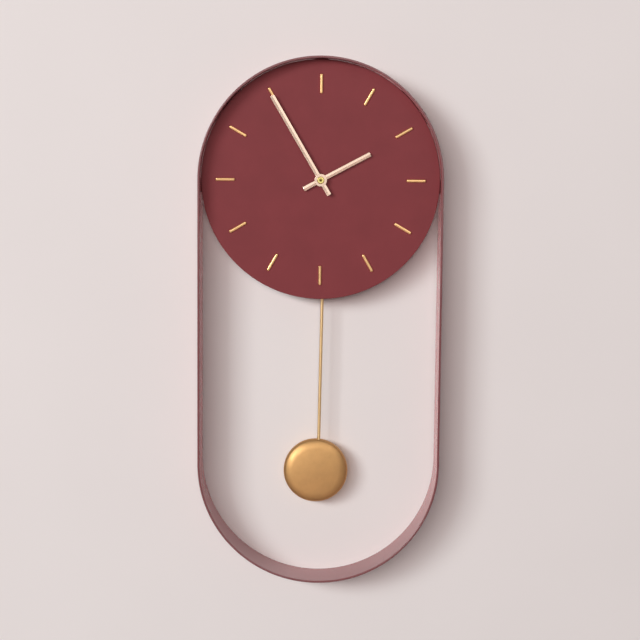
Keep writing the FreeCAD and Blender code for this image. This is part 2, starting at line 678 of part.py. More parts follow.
def stator():
    """Soft-iron plate around the rotor, whose right leg is the core of the coil."""
    plate = block((5.9, 21.0), STATOR_LAYER, (-11.0, 11.0))
    window = block((14.2, 18.0), (-21, -17), (-8.0, 8.0))
    return without(plate, [window, pivot_hole(3.5, ROTOR_AXIS)])


def around_core(half_x, half_y, z_range):
    x_range = (COIL_X - half_x, COIL_X + half_x)
    return block(x_range, (COIL_Y - half_y, COIL_Y + half_y), z_range)


def coil_bobbin():
    tube = around_core(2.1, 1.1, (-7.5, 7.5))
    low = around_core(3.9, 3.4, (-7.5, -6.7))
    high = around_core(3.9, 3.4, (6.7, 7.5))
    return joined([tube, low, high]).cut(around_core(1.55, 0.55, (-9, 9)))


def coil_winding():
    copper = Part.makeCylinder(3.3, 13.4, vec(COIL_X, COIL_Y, -6.7), vec(0, 0, 1))
    return copper.cut(around_core(2.1, 1.1, (-9, 9)))


def circuit_board():
    """Board with the driver chip under a round drop of resin on its back."""
    board = block((14.5, 25.5), BOARD_LAYER, (-18.0, 10.0))
    resin = spun([(0, -13.8), (3.0, -13.8), (3.0, -13.4), (2.0, -12.8), (0, -12.6)], (20.0, 0.0))
    return joined([board, resin])


def quartz_crystal():
    """Small can of the quartz crystal, lying on the front of the board."""
    return Part.makeCylinder(1.0, 6.0, vec(23.0, BOARD_LAYER[0] - 1.0, -13.8), vec(0, 0, 1))


BATTERY_Y = -18.5
BATTERY_Z = 27.0
BATTERY_RADIUS = 7.1


def battery():
    """AA cell, lying across the top of the movement."""
    body = Part.makeCylinder(BATTERY_RADIUS, 49.2, vec(-24.9, BATTERY_Y, BATTERY_Z), vec(1, 0, 0))
    rims = [edge for edge in body.Edges if edge.BoundBox.XLength < 0.01]
    button = Part.makeCylinder(2.75, 1.8, vec(23.8, BATTERY_Y, BATTERY_Z), vec(1, 0, 0))
    return joined([body.makeFillet(0.6, rims), button])


def battery_contact_positive():
    pad = block((25.6, 25.9), (BATTERY_Y - 4, BATTERY_Y + 4), (BATTERY_Z - 4, BATTERY_Z + 4))
    leg = block((25.6, 25.9), (-15.6, -13.6), (6.0, BATTERY_Z))
    return joined([pad, leg])


def battery_contact_negative():
    """Springy plate with a pressed boss that bears on the flat end of the cell."""
    pad = block((-26.3, -26.0), (BATTERY_Y - 5, BATTERY_Y + 5), (BATTERY_Z - 5, BATTERY_Z + 5))
    boss = Part.makeCylinder(3.0, 1.2, vec(-26.1, BATTERY_Y, BATTERY_Z), vec(1, 0, 0))
    return joined([pad, boss])


# ---------------------------------------------------------------- pendulum

def pivot_pin():
    return disc(1.0, (INSIDE_FRONT - 0.5, COVER_FRONT + 0.8), (0, PIVOT_Z))


def pendulum_lever():
    """Moulded lever: a hub on the pivot pin, a flat arm, and an upright tab with the hook hole."""
    hub = disc(3.5, (PENDULUM_Y - 4.0, PENDULUM_Y + 3.0), (0, PIVOT_Z))
    arm = block((-3.0, 3.0), (PENDULUM_Y - 1.0, PENDULUM_Y + 1.0), (-80.0, PIVOT_Z))
    tab = block((-0.9, 0.9), (PENDULUM_Y - 3.0, PENDULUM_Y + 3.0), (HOOK_Z - 5.0, -77.0))
    hole_radius = ROD_RADIUS + 0.5
    hole_z = HOOK_Z - ROD_RADIUS - 0.2 + hole_radius
    hole = Part.makeCylinder(hole_radius, 10, vec(-5, PENDULUM_Y, hole_z), vec(1, 0, 0))
    pin_bore = disc(1.05, (PENDULUM_Y - 10, PENDULUM_Y + 10), (0, PIVOT_Z))
    return on_pendulum(without(joined([hub, arm, tab]), [hole, pin_bore]))


def pendulum_magnet():
    return on_pendulum(disc(4.5, (PENDULUM_Y - 3.5, PENDULUM_Y - 1.0), (0, MAGNET_Z)))


def drive_coil():
    """Flat coil in front of the magnet, which gives the pendulum its push."""
    return ring(8.0, 3.5, (-25.9, -22.0), (0, MAGNET_Z))


def pendulum_rod():
    """Wire with a hook at the top. The straight part leaves the hook's bend at a tangent."""
    hook_centre = HOOK_Z - HOOK_RADIUS
    end = vec(ROD_AT_BOB, PENDULUM_Y, BOB_Z - 8.0)
    run = math.hypot(end.x, end.z - hook_centre)
    tangent = math.atan2(end.z - hook_centre, end.x) + math.acos(HOOK_RADIUS / run)
    start = vec(HOOK_RADIUS * math.cos(tangent), PENDULUM_Y, hook_centre + HOOK_RADIUS * math.sin(tangent))
    top = vec(0, PENDULUM_Y, HOOK_Z)
    over = vec(-HOOK_RADIUS, PENDULUM_Y, hook_centre)
    tip = vec(-HOOK_RADIUS, PENDULUM_Y, hook_centre - HOOK_LEG)
    path = Part.Wire([
        Part.LineSegment(end, start).toShape(),
        Part.Arc(start, top, over).toShape(),
        Part.LineSegment(over, tip).toShape(),
    ])
    section = Part.Wire([Part.makeCircle(ROD_RADIUS, end, start - end)])
    return on_pendulum(path.makePipeShell([section], True, True))


def bob_curves():
    """Radius and outer slope of the face's three curves. The edge takes up the rest of the radius."""
    crown = math.radians(BOB_CROWN_SLOPE)
    shoulder = math.radians(BOB_SHOULDER_SLOPE)
    middle = BOB_CROWN_RADIUS * math.sin(crown)
    outer = BOB_SHOULDER_RADIUS * (math.sin(shoulder) - math.sin(crown))
    edge_radius = (BOB_RADIUS - middle - outer) / (1 - math.sin(shoulder))
    return (BOB_CROWN_RADIUS, crown), (BOB_SHOULDER_RADIUS, shoulder), (edge_radius, math.pi / 2)


def domed_solid(inset, back):
    """The bob's domed shape, made smaller all round by an inset, and flat at the back."""
    edges = []
    here = vec(0, BOB_FRONT + inset, 0)
    slope = 0.0
    for radius, end_slope in bob_curves():
        centre = here - vec(math.sin(slope), -math.cos(slope), 0) * (radius - inset)
        halfway = (slope + end_slope) / 2
        middle = centre + vec(math.sin(halfway), -math.cos(halfway), 0) * (radius - inset)
        there = centre + vec(math.sin(end_slope), -math.cos(end_slope), 0) * (radius - inset)
        edges.append(Part.Arc(here, middle, there).toShape())
        here = there
        slope = end_slope
    corners = [here, vec(here.x, back, 0), vec(0, back, 0), vec(0, BOB_FRONT + inset, 0)]
    edges += [Part.LineSegment(first, second).toShape() for first, second in zip(corners, corners[1:])]
    solid = Part.Face(Part.Wire(edges)).revolve(vec(0, 0, 0), vec(0, 1, 0), 360)
    solid.translate(vec(0, 0, BOB_Z))
    return solid


def rod_cutter(play):
    """Straight run of the rod, thickened by a play, for the holes that it passes through."""
    top = vec(HOOK_RADIUS, PENDULUM_Y, HOOK_Z - HOOK_RADIUS)
    end = vec(ROD_AT_BOB, PENDULUM_Y, BOB_Z - 8.0)
    return Part.makeCylinder(ROD_RADIUS + play, (end - top).Length, top, end - top)


def bob_front():
    """Pressed front of the bob, open at the back, with a hole in its rim for the rod."""
    outer = domed_solid(0.0, BOB_RIM_BACK)
    inner = domed_solid(BOB_SKIN, BOB_RIM_BACK + 1)
    return on_pendulum(without(outer, [inner, rod_cutter(0.05)]))


def bob_back():
    """Steel weight disc that closes the bob, let into the rim of the front."""
    return on_pendulum(disc(BOB_RADIUS - BOB_SKIN - 0.1, BOB_BACK_LAYER, (0, BOB_Z)))


def bob_clamp():
    """Brass block on the back plate, which grips the end of the rod."""
    x_range = (ROD_AT_BOB - 4.0, ROD_AT_BOB + 4.0)
    grip = block(x_range, (PENDULUM_Y - 3.5, BOB_BACK_LAYER[0]), (BOB_Z - 7.0, BOB_Z + 7.0))
    return on_pendulum(grip.cut(rod_cutter(0.0)))


# ---------------------------------------------------------------- all nodes

def build():
    os.makedirs("parts", exist_ok=True)
    save("frame_band", frame_band())
    save("hanger_bar", hanger_bar())
    save("dial_plate", dial_plate())
    save("dial_studs", dial_studs())
    for hour in range(BAR_COUNT):
        save("index_bar_%02d" % (hour or BAR_COUNT), index_bar(hour))
    save("dial_bracket_left", side_bracket(-1))
    save("dial_bracket_right", side_bracket(1))
    save("dial_bracket_top", top_bracket())
    save("bracket_nuts", bracket_nuts())
    save("hour_hand", hour_hand())
    save("minute_hand", minute_hand())
    save("hand_nut", hand_nut())
    save("dial_nut", dial_nut())
    save("dial_washer", ring(5.6, BUSHING_RADIUS + 0.1, WASHER_LAYER))
    save("rubber_gasket", ring(20.0, BUSHING_RADIUS + 0.2, (DIAL_BACK, CASE_FRONT)))
    save("movement_case", movement_case())
    save("movement_cover", movement_cover())
    save("cover_screws", cover_screws())
    save("bushing", bushing())
    save("middle_plate", middle_plate())
    save("rear_plate", rear_plate())
    save("train_pillars", train_pillars())
    save("plate_screws", plate_screws())
    save("minute_shaft", minute_shaft())
    save("minute_wheel", minute_wheel())
    save("hour_wheel", hour_wheel())
    save("centre_wheel", centre_wheel())
    save("clutch_spring", clutch_spring())
    save("third_wheel", third_wheel())
    save("fourth_wheel", fourth_wheel())
    save("intermediate_wheel", intermediate_wheel())
    save("rotor", rotor())
    save("set_knob", set_knob())
    save("stator", stator())
    save("coil_bobbin", coil_bobbin())
    save("coil_winding", coil_winding())
    save("circuit_board", circuit_board())
    save("quartz_crystal", quartz_crystal())
    save("battery", battery())
    save("battery_contact_positive", battery_contact_positive())
    save("battery_contact_negative", battery_contact_negative())
    save("pivot_pin", pivot_pin())
    save("pendulum_lever", pendulum_lever())
    save("pendulum_magnet", pendulum_magnet())
    save("drive_coil", drive_coil())
    save("pendulum_rod", pendulum_rod())
    save("bob_front", bob_front())
    save("bob_back", bob_back())
    save("bob_clamp", bob_clamp())


build()
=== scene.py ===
import json
import math

import bmesh
import bpy
from mathutils import Matrix, Vector


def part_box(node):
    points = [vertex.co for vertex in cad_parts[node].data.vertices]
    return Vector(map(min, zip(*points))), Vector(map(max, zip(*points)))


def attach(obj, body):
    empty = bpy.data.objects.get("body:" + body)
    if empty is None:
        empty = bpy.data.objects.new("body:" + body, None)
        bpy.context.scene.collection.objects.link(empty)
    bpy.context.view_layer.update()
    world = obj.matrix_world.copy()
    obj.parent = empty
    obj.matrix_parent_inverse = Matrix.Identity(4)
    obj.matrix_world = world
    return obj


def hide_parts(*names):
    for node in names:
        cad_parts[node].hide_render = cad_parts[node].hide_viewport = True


# Pendulum wall clock: the looks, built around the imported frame, which is in metres with +Z up and
# the dial facing -Y. Pieces are drawn in millimetres about the dial centre, with y as in the frame,
# and add_piece() brings them into the frame.

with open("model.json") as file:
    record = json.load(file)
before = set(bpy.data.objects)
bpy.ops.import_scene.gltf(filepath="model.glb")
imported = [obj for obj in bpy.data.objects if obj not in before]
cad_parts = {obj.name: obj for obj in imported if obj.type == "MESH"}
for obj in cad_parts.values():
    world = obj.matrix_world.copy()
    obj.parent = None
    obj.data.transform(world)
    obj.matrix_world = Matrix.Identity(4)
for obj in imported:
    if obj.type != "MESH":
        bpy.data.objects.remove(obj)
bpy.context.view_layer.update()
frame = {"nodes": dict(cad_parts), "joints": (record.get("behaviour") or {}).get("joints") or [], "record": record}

JOINTS = {joint["name"]: joint for joint in frame["joints"]}
CENTRE = Vector(JOINTS["minute_hand_turn"]["pos_m"])


def local(x, y, z):
    """Metres in the frame to millimetres about the dial centre."""
    return Vector((1000 * (x - CENTRE.x), 1000 * y, 1000 * (z - CENTRE.z)))


def box(node):
    low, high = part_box(node)
    return local(*low), local(*high)


# Places and sizes read from the frame
BAND_LOW, BAND_HIGH = box("frame_band")
BAND_RADIUS = (BAND_HIGH.x - BAND_LOW.x) / 2
BAND_THICK = 2.0
INNER_RADIUS = BAND_RADIUS - BAND_THICK
LOWER_ARC_Z = BAND_LOW.z + BAND_RADIUS
DIAL_LOW, DIAL_HIGH = box("dial_plate")
DIAL_FRONT = DIAL_LOW.y
DIAL_BACK = DIAL_HIGH.y
DIAL_RADIUS = (DIAL_HIGH.x - DIAL_LOW.x) / 2
CASE_LOW, CASE_HIGH = box("movement_case")
COVER_LOW, COVER_HIGH = box("movement_cover")
PIVOT = local(*JOINTS["pendulum_swing"]["pos_m"])
SET_AXIS = local(*JOINTS["set_knob_turn"]["pos_m"])
BOB_LOW, BOB_HIGH = box("bob_front")
BOB_RADIUS = (BOB_HIGH.x - BOB_LOW.x) / 2
BOB_MIDDLE = (BOB_LOW + BOB_HIGH) / 2
SWING_NOW = math.atan2(PIVOT.x - BOB_MIDDLE.x, PIVOT.z - BOB_MIDDLE.z)
BOB_DROP = math.hypot(PIVOT.x - BOB_MIDDLE.x, PIVOT.z - BOB_MIDDLE.z)

# Dial, hand blades and bosses
DIAL_HOLE_RADIUS = 4.2
BLADE_HALF = 2.15
BLADE_EDGE = 0.26           # thickness at the long edges
BLADE_RIDGE = 0.78          # thickness along the ridge
BLADE_CORNER = 0.55
HAND_BOSS_RADIUS = 5.9

# Face of the bob: a nearly flat crown, then a rounder shoulder, then the edge. Slopes in degrees.
BOB_CROWN_RADIUS = 156.0
BOB_CROWN_SLOPE = 8.0
BOB_SHOULDER_RADIUS = 17.2
BOB_SHOULDER_SLOPE = 33.0
BOB_SKIN = 0.8

# Wire of the pendulum and the lever that carries it
ROD_RADIUS = 1.5
HOOK_RADIUS = 3.4
HOOK_TOP = 58.0             # below the pivot
ROD_OFFSET = 2.3            # beside the bob's middle
LEVER_BORE = 1.05

# Keyhole, dial fixings and housing screws
KEYHOLE_RADIUS = 4.5
KEYHOLE_SLOT_RADIUS = 2.5
STUD_INSET = 10.0
STUD_RADIUS = 1.5
CASE_SCREWS = [(x, z) for x in (-22.8, 22.8) for z in (14.8, -71.5)]


# ---------------------------------------------------------------- mesh tools

def new_object(name, mesh):
    item = bpy.data.objects.new(name, mesh)
    bpy.context.scene.collection.objects.link(item)
    return item


def add_piece(name, mesh, body, replaced, material, sharp=38):
    """Finished piece, riding on a body, in place of its CAD nodes."""
    mesh.transform(Matrix.Translation((CENTRE.x, 0, CENTRE.z)) @ Matrix.Scale(0.001, 4))
    for polygon in mesh.polygons:
        polygon.use_smooth = True
    mesh.set_sharp_from_angle(angle=math.radians(sharp))
    mesh.materials.clear()
    mesh.materials.append(MATERIALS[material])
    piece = new_object(name, mesh)
    weighted = piece.modifiers.new("even_shading", "WEIGHTED_NORMAL")
    weighted.keep_sharp = True
    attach(piece, body)
    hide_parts(*replaced)


def mesh_from(bm, name):
    """Finished mesh of a bmesh, with doubled points joined and its faces turned outward."""
    bmesh.ops.remove_doubles(bm, verts=bm.verts, dist=1e-5)
    bmesh.ops.recalc_face_normals(bm, faces=bm.faces)
    mesh = bpy.data.meshes.new(name)
    bm.to_mesh(mesh)
    bm.free()
    return mesh


def evaluated(item):
    """Mesh of a scratch object with its modifiers or its curve worked out. The object is removed."""
    bpy.context.view_layer.update()
    mesh = bpy.data.meshes.new_from_object(item.evaluated_get(bpy.context.evaluated_depsgraph_get()))
    bpy.data.objects.remove(item)
    return mesh


def boolean(mesh, others, operation):
    """Union, difference or intersection of one mesh with each of the others."""
    item = new_object("scratch", mesh)
    tools = [new_object("tool", other) for other in others]
    for tool in tools:
        modifier = item.modifiers.new("boolean", "BOOLEAN")
        modifier.operation = operation
        modifier.solver = "EXACT"
        modifier.object = tool
    result = evaluated(item)
    for tool in tools:
        bpy.data.objects.remove(tool)
    return result


def together(meshes, name):
    """Several shapes as one mesh, without joining them."""
    bm = bmesh.new()
    for mesh in meshes:
        bm.from_mesh(mesh)
    return mesh_from(bm, name)


def turned(mesh, radians, centre=(0, 0)):
    """Turn a mesh clockwise, seen from the front, about an axis along Y."""
    there = Matrix.Translation((centre[0], 0, centre[1]))
    mesh.transform(there @ Matrix.Rotation(radians, 4, "Y") @ there.inverted())
    return mesh


def on_pendulum(mesh):
    """Turn a shape drawn with the pendulum plumb to where the pendulum stands."""
    return turned(mesh, SWING_NOW, (PIVOT.x, PIVOT.z))


def arc(centre, radius, start, end, steps):
    """2D points on an arc, angles in degrees."""
    points = []
    for step in range(steps + 1):
        angle = math.radians(start + (end - start) * step / steps)
        points.append((centre[0] + radius * math.cos(angle), centre[1] + radius * math.sin(angle)))
    return points


def rounded(points, radius, steps=4):
    """Closed 2D outline with each corner turned into an arc. radius is one value, or one per point."""
    radii = radius if isinstance(radius, (list, tuple)) else [radius] * len(points)
    outline = []
    for index, point in enumerate(points):
        corner = Vector(point)
        before = (Vector(points[index - 1]) - corner).normalized()
        after = (Vector(points[(index + 1) % len(points)]) - corner).normalized()
        half = before.angle(after) / 2
        if radii[index] <= 0 or abs(half - math.pi / 2) < 1e-4:
            outline.append(tuple(corner))
            continue
        reach = radii[index] / math.tan(half)
        middle = corner + (before + after).normalized() * (radii[index] / math.sin(half))
        start = corner + before * reach - middle
        finish = corner + after * reach - middle
        sweep = math.atan2(start.x * finish.y - start.y * finish.x, start.dot(finish))
        for step in range(steps + 1):
            turn = Matrix.Rotation(sweep * step / steps, 2)
            outline.append(tuple(middle + turn @ start))
    return outline


def on_edge(mesh):
    """Stand a plate drawn as a (y, height) outline on edge, square to X."""
    mesh.transform(Matrix.Rotation(math.radians(90), 4, "Z") @ Matrix.Scale(-1, 4, (0, 1, 0)))
    return mesh


def rectangle(x_low, x_high, z_low, z_high):
    return [(x_low, z_low), (x_high, z_low), (x_high, z_high), (x_low, z_high)]


def circle(centre, radius, steps=48):
    return arc(centre, radius, 0, 360, steps)[:-1]


def lathe(profile, centre=(0, 0), segments=96, wobble=None, name="turned"):
    """Turn a closed (radius, y) outline about an axis along Y. wobble gives a radius at an angle."""
    bm = bmesh.new()
    rings = []
    for segment in range(segments):
        angle = 2 * math.pi * segment / segments
        ring = []
        for radius, y in profile:
            reach = wobble(radius, angle) if wobble else radius
            point = (centre[0] + reach * math.cos(angle), y, centre[1] + reach * math.sin(angle))
            ring.append(bm.verts.new(point))
        rings.append(ring)
    count = len(profile)
    for segment in range(segments):
        ring, after = rings[segment], rings[(segment + 1) % segments]
        for index in range(count):
            other = (index + 1) % count
            here, there = profile[index][0] < 1e-6, profile[other][0] < 1e-6
            if here and there:
                continue
            if here:
                bm.faces.new((ring[index], ring[other], after[other]))
            elif there:
                bm.faces.new((ring[index], ring[other], after[index]))
            else:
                bm.faces.new((ring[index], ring[other], after[other], after[index]))
    return mesh_from(bm, name)


def plate(outline, front, back, bevel=0.2, holes=(), name="plate"):
    """Flat plate of an (x, z) outline with holes, its edges broken by a small round."""
    curve = bpy.data.curves.new(name, "CURVE")
    curve.dimensions = "2D"
    curve.fill_mode = "BOTH"
    curve.extrude = (back - front) / 2 - bevel
    curve.bevel_depth = bevel
    curve.offset = -bevel
    curve.bevel_resolution = 2
    for points in [outline, *holes]:
        spline = curve.splines.new("POLY")
        spline.points.add(len(points) - 1)
        spline.use_cyclic_u = True
        for item, (x, z) in zip(spline.points, points):
            item.co = (x, z, 0, 1)
    mesh = evaluated(new_object(name, curve))
    mesh.transform(Matrix.Translation((0, (front + back) / 2, 0)) @ Matrix.Rotation(math.radians(90), 4, "X"))
    bm = bmesh.new()
    bm.from_mesh(mesh)
    return mesh_from(bm, name)


def sweep(sections, closed=False, name="swept"):
    """Skin between rings of 3D points, with flat ends unless the sweep is closed."""
    bm = bmesh.new()
    rings = [[bm.verts.new(point) for point in section] for section in sections]
    count = len(rings[0])
    pairs = list(zip(rings, rings[1:]))
    if closed:
        pairs.append((rings[-1], rings[0]))
    else:
        bm.faces.new(rings[0])
        bm.faces.new(rings[-1])
    for first, second in pairs:
        for corner in range(count):
            other = (corner + 1) % count
            bm.faces.new((first[corner], first[other], second[other], second[corner]))
    return mesh_from(bm, name)


def thread_profile(radius, front, back, pitch, depth, end=0.3):
    """Half outline of a threaded pin, from its front middle to its back middle."""
    points = [(0, front), (radius - depth - end * 0.5, front), (radius - depth, front + end)]
    y = front + end
    while y + pitch < back:
        points += [(radius, y + 0.35 * pitch), (radius, y + 0.5 * pitch), (radius - depth, y + 0.9 * pitch)]
        y += pitch
    return points + [(radius - depth, back), (0, back)]


def hex_nut(across_flats, front, back, centre, bore):
    """Hexagon nut with turned chamfers on its corners."""
    corner = across_flats / math.sqrt(3)
    outline = [(centre[0] + corner * math.cos(math.radians(60 * side)),
                centre[1] + corner * math.sin(math.radians(60 * side))) for side in range(6)]
    body = plate(rounded(outline, 0.15, 2), front, back, 0.05, [circle(centre, bore, 32)])
    chamfer = 0.14 * across_flats
    round_body = [(0, front), (across_flats * 0.48, front), (corner + 0.02, front + chamfer * 0.55),
                  (corner + 0.02, back - chamfer * 0.55), (across_flats * 0.48, back), (0, back)]
    return boolean(body, [lathe(round_body, centre, 64)], "INTERSECT")


# ---------------------------------------------------------------- materials

class Shader:
    """A Principled material with the few node recipes that the clock's surfaces share."""

    def __init__(self, name, colour, roughness, metallic=0.0, **sockets):
        self.material = bpy.data.materials.new(name)
        self.material.use_nodes = True
        self.nodes = self.material.node_tree.nodes
        self.links = self.material.node_tree.links
        self.surface = self.nodes["Principled BSDF"]
        self.surface.inputs["Base Color"].default_value = (*colour, 1)
        self.surface.inputs["Roughness"].default_value = roughness
        self.surface.inputs["Metallic"].default_value = metallic
        for socket, value in sockets.items():
            self.surface.inputs[socket.replace("_", " ")].default_value = value
        self.colour = colour
        self.roughness = roughness
        self.place = self.nodes.new("ShaderNodeTexCoord").outputs["Object"]
        self.last_normal = None

    def noise(self, scale, detail, stretch=(1, 1, 1)):
        mapping = self.nodes.new("ShaderNodeMapping")
        mapping.inputs["Scale"].default_value = stretch
        self.links.new(self.place, mapping.inputs["Vector"])
        texture = self.nodes.new("ShaderNodeTexNoise")
        texture.inputs["Scale"].default_value = scale
        texture.inputs["Detail"].default_value = detail
        self.links.new(mapping.outputs["Vector"], texture.inputs["Vector"])
        return texture.outputs["Fac"]

    def ranged(self, source, low, high, from_low=0.3, from_high=0.7):
        """Value of a node moved from one range to another."""
        node = self.nodes.new("ShaderNodeMapRange")
        node.inputs["From Min"].default_value = from_low
        node.inputs["From Max"].default_value = from_high
        node.inputs["To Min"].default_value = low
        node.inputs["To Max"].default_value = high
        self.links.new(source, node.inputs["Value"])
        return node.outputs["Result"]

    def mixed(self, factor, first, second):
        """Mix of two colours, each a node's output or red, green and blue."""
        mix = self.nodes.new("ShaderNodeMix")
        mix.data_type = "RGBA"
        for socket, value in (("A", first), ("B", second)):
            if isinstance(value, tuple):
                mix.inputs[socket].default_value = (*value, 1)
            else:
                self.links.new(value, mix.inputs[socket])
        self.links.new(factor, mix.inputs["Factor"])
        return mix.outputs["Result"]

    def mottle(self, scale, spread):
        """Colour that drifts a little lighter and darker over the surface."""
        dark = tuple(channel * (1 - spread) for channel in self.colour)
        light = tuple(min(1, channel * (1 + spread)) for channel in self.colour)
        result = self.mixed(self.ranged(self.noise(scale, 4.0), 0, 1), dark, light)
        self.links.new(result, self.surface.inputs["Base Color"])
        return result

    def uneven_gloss(self, scale, spread, stretch=(1, 1, 1)):
        """Roughness that drifts up and down over the surface."""
        source = self.noise(scale, 4.0, stretch)
        result = self.ranged(source, self.roughness - spread, self.roughness + spread)
        self.links.new(result, self.surface.inputs["Roughness"])

    def bump(self, scale, height_mm, detail=2.0, stretch=(1, 1, 1)):
        """Fine relief, on top of any that the surface has already."""
        node = self.nodes.new("ShaderNodeBump")
        node.inputs["Distance"].default_value = height_mm / 1000
        self.links.new(self.noise(scale, detail, stretch), node.inputs["Height"])
        if self.last_normal:
            self.links.new(self.last_normal, node.inputs["Normal"])
        self.links.new(node.outputs["Normal"], self.surface.inputs["Normal"])
        self.last_normal = node.outputs["Normal"]


def powder_coat(name, colour, roughness, specular=0.5, peel_mm=0.02, sheen=0.0):
    """Baked powder paint: fine orange peel, uneven gloss, and a pink bloom where sheen is set."""
    coat = Shader(name, colour, roughness, Specular_IOR_Level=specular, Sheen_Weight=sheen,
                  Sheen_Roughness=0.35, Sheen_Tint=(1.0, 0.36, 0.38, 1.0))
    coat.mottle(35, 0.05)
    coat.uneven_gloss(60, 0.03)
    coat.bump(700, peel_mm)
    coat.bump(2600, peel_mm / 5)
    return coat.material


def satin_metal(name, colour, roughness, grain=(1, 1, 1), grain_height=0.002, spread=0.04):
    """Lacquered, anodised or plated metal with a fine grain that can run along one direction."""
    metal = Shader(name, colour, roughness, 1.0)
    metal.mottle(120, 0.04)
    metal.uneven_gloss(300, spread, grain)
    metal.bump(1500, grain_height, 3.0, grain)
    return metal.material


def moulded(name, colour, roughness, bump_scale=1800, bump_mm=0.01):
    """Moulded plastic or rubber with a fine spark-eroded texture."""
    stuff = Shader(name, colour, roughness)
    stuff.mottle(90, 0.06)
    stuff.uneven_gloss(200, 0.05)
    stuff.bump(bump_scale, bump_mm)
    return stuff.material


def battery_jacket():
    """Dark printed sleeve with a copper-coloured end, split along the cell."""
    jacket = Shader("battery_jacket", (0.03, 0.03, 0.034), 0.28)
    dark = jacket.mottle(150, 0.1)
    parts = jacket.nodes.new("ShaderNodeSeparateXYZ")
    jacket.links.new(jacket.place, parts.inputs["Vector"])
    edge = CENTRE.x + 0.010
    split = jacket.ranged(parts.outputs["X"], 0, 1, edge - 0.0002, edge + 0.0002)
    colour = jacket.mixed(split, dark, (0.55, 0.24, 0.09))
    jacket.links.new(colour, jacket.surface.inputs["Base Color"])
    jacket.uneven_gloss(200, 0.04)
    return jacket.material


MATERIALS = {
    "band_paint": powder_coat("band_powder_coat", (0.165, 0.037, 0.042), 0.22, 0.95, 0.006, 0.34),
    "dial_paint": powder_coat("dial_matt_paint", (0.190, 0.033, 0.038), 0.50, 0.28),
    "bar_brass": satin_metal("index_polished_brass", (0.88, 0.54, 0.25), 0.30, spread=0.02),
    "hand_gold": satin_metal("hand_champagne_satin", (0.86, 0.64, 0.50), 0.24, (6, 6, 0.8)),
    "nut_brass": satin_metal("nut_yellow_brass", (0.86, 0.72, 0.26), 0.16),
    "rod_brass": satin_metal("rod_gold", (0.80, 0.55, 0.28), 0.42, grain_height=0.0003),
    "bob_gold": satin_metal("bob_satin_gold", (0.60, 0.34, 0.140), 0.48, grain_height=0.0005),
    "bob_steel": satin_metal("bob_back_gold", (0.62, 0.41, 0.20), 0.40),
    "bracket_steel": powder_coat("bracket_powder_coat", (0.190, 0.044, 0.048), 0.42),
    "screw_steel": satin_metal("zinc_plated_steel", (0.62, 0.62, 0.63), 0.32),
    "fitting_brass": satin_metal("turned_brass", (0.78, 0.58, 0.28), 0.28),
    # Brass coloured dark: painted shade for the shaft's end in the nut's eye, not the brass's own colour
    "shaft_brass": satin_metal("shaft_brass_painted_shade", (0.13, 0.075, 0.012), 0.35),
    "gasket_rubber": moulded("gasket_rubber", (0.018, 0.018, 0.018), 0.75),
    "movement_black": moulded("movement_black_plastic", (0.022, 0.022, 0.024), 0.46),
    "works_plastic": moulded("works_acetal", (0.72, 0.70, 0.62), 0.38),
    "knob_plastic": moulded("knob_plastic", (0.60, 0.59, 0.55), 0.45),
    "magnet_dark": moulded("sintered_magnet", (0.05, 0.05, 0.055), 0.40),
    "stator_steel": satin_metal("stator_soft_iron", (0.42, 0.41, 0.40), 0.38),
    "winding_copper": moulded("enamelled_copper", (0.42, 0.13, 0.05), 0.25, 5000, 0.03),
    "board_green": moulded("board_green", (0.02, 0.13, 0.06), 0.35),
    "battery_jacket": battery_jacket(),
}


# ---------------------------------------------------------------- frame band, dial and bars

def band():
    """Flat strip with rounded edges, swept round the tall loop."""
    front, back = BAND_LOW.y, BAND_HIGH.y
    section = rounded(
        [(INNER_RADIUS, front), (BAND_RADIUS, front), (BAND_RADIUS, back), (INNER_RADIUS, back)], 0.5)
    arc_steps, side_steps = 96, 24
    upper = [(0.0, across, up) for across, up in arc((0, 0), 1.0, 180, 0, arc_steps)]
    lower = [(LOWER_ARC_Z, across, up) for across, up in arc((0, 0), 1.0, 0, -180, arc_steps)]
    right = [(LOWER_ARC_Z * step / side_steps, 1.0, 0.0) for step in range(1, side_steps)]
    left = [(height, -across, up) for height, across, up in reversed(right)]
    stations = upper + right + lower + left
    rings = [[(r * across, y, height + r * up) for r, y in section] for height, across, up in stations]
    add_piece("band", sweep(rings, closed=True, name="band"), "root", ["frame_band"], "band_paint")


def dial():
    """Sheet disc with softly broken edges and a centre hole."""
    profile = rounded(
        [(DIAL_HOLE_RADIUS, DIAL_FRONT), (DIAL_RADIUS, DIAL_FRONT), (DIAL_RADIUS, DIAL_BACK),
         (DIAL_HOLE_RADIUS, DIAL_BACK)],
        [0.0, 0.4, 0.2, 0.0])
    add_piece("dial", lathe(profile, segments=256, name="dial"), "root", ["dial_plate"], "dial_paint")


def flattened(share):
    """Turns a circle's sine or cosine into that of a fuller, softly squared arch."""
    return math.copysign(abs(share) ** 0.8, share)


def index_bars():
    """Bars with an arched top and round ends."""
    low, high = box("index_bar_12")
    half = (high.x - low.x) / 2
    foot = DIAL_FRONT - low.y - half
    middle = (high.z + low.z) / 2
    reach = (high.z - low.z) / 2 - half
    rows = []
    for degrees in range(5, 90, 10):
        angle = math.radians(degrees)
        rows.append((-reach - half * math.cos(angle), math.sin(angle)))
    rows += [(-along, scale) for along, scale in reversed(rows)]
    top = []
    for degrees in range(0, 181, 10):
        angle = math.radians(degrees)
        top.append((-half * flattened(math.cos(angle)), half * flattened(math.sin(angle))))
    sections = []
    for along, scale in rows:
        outline = [(-half, 0.0)] + [(x, foot + rise * scale) for x, rise in top] + [(half, 0.0)]
        sections.append([(x * scale, DIAL_FRONT - height, middle + along) for x, height in outline])
    for hour in range(1, 13):
        mesh = turned(sweep(sections, name="index_bar"), math.radians(30 * hour))
        node = "index_bar_%02d" % hour
        add_piece(node + "_polished", mesh, "root", [node], "bar_brass", 50)


# ---------------------------------------------------------------- hands

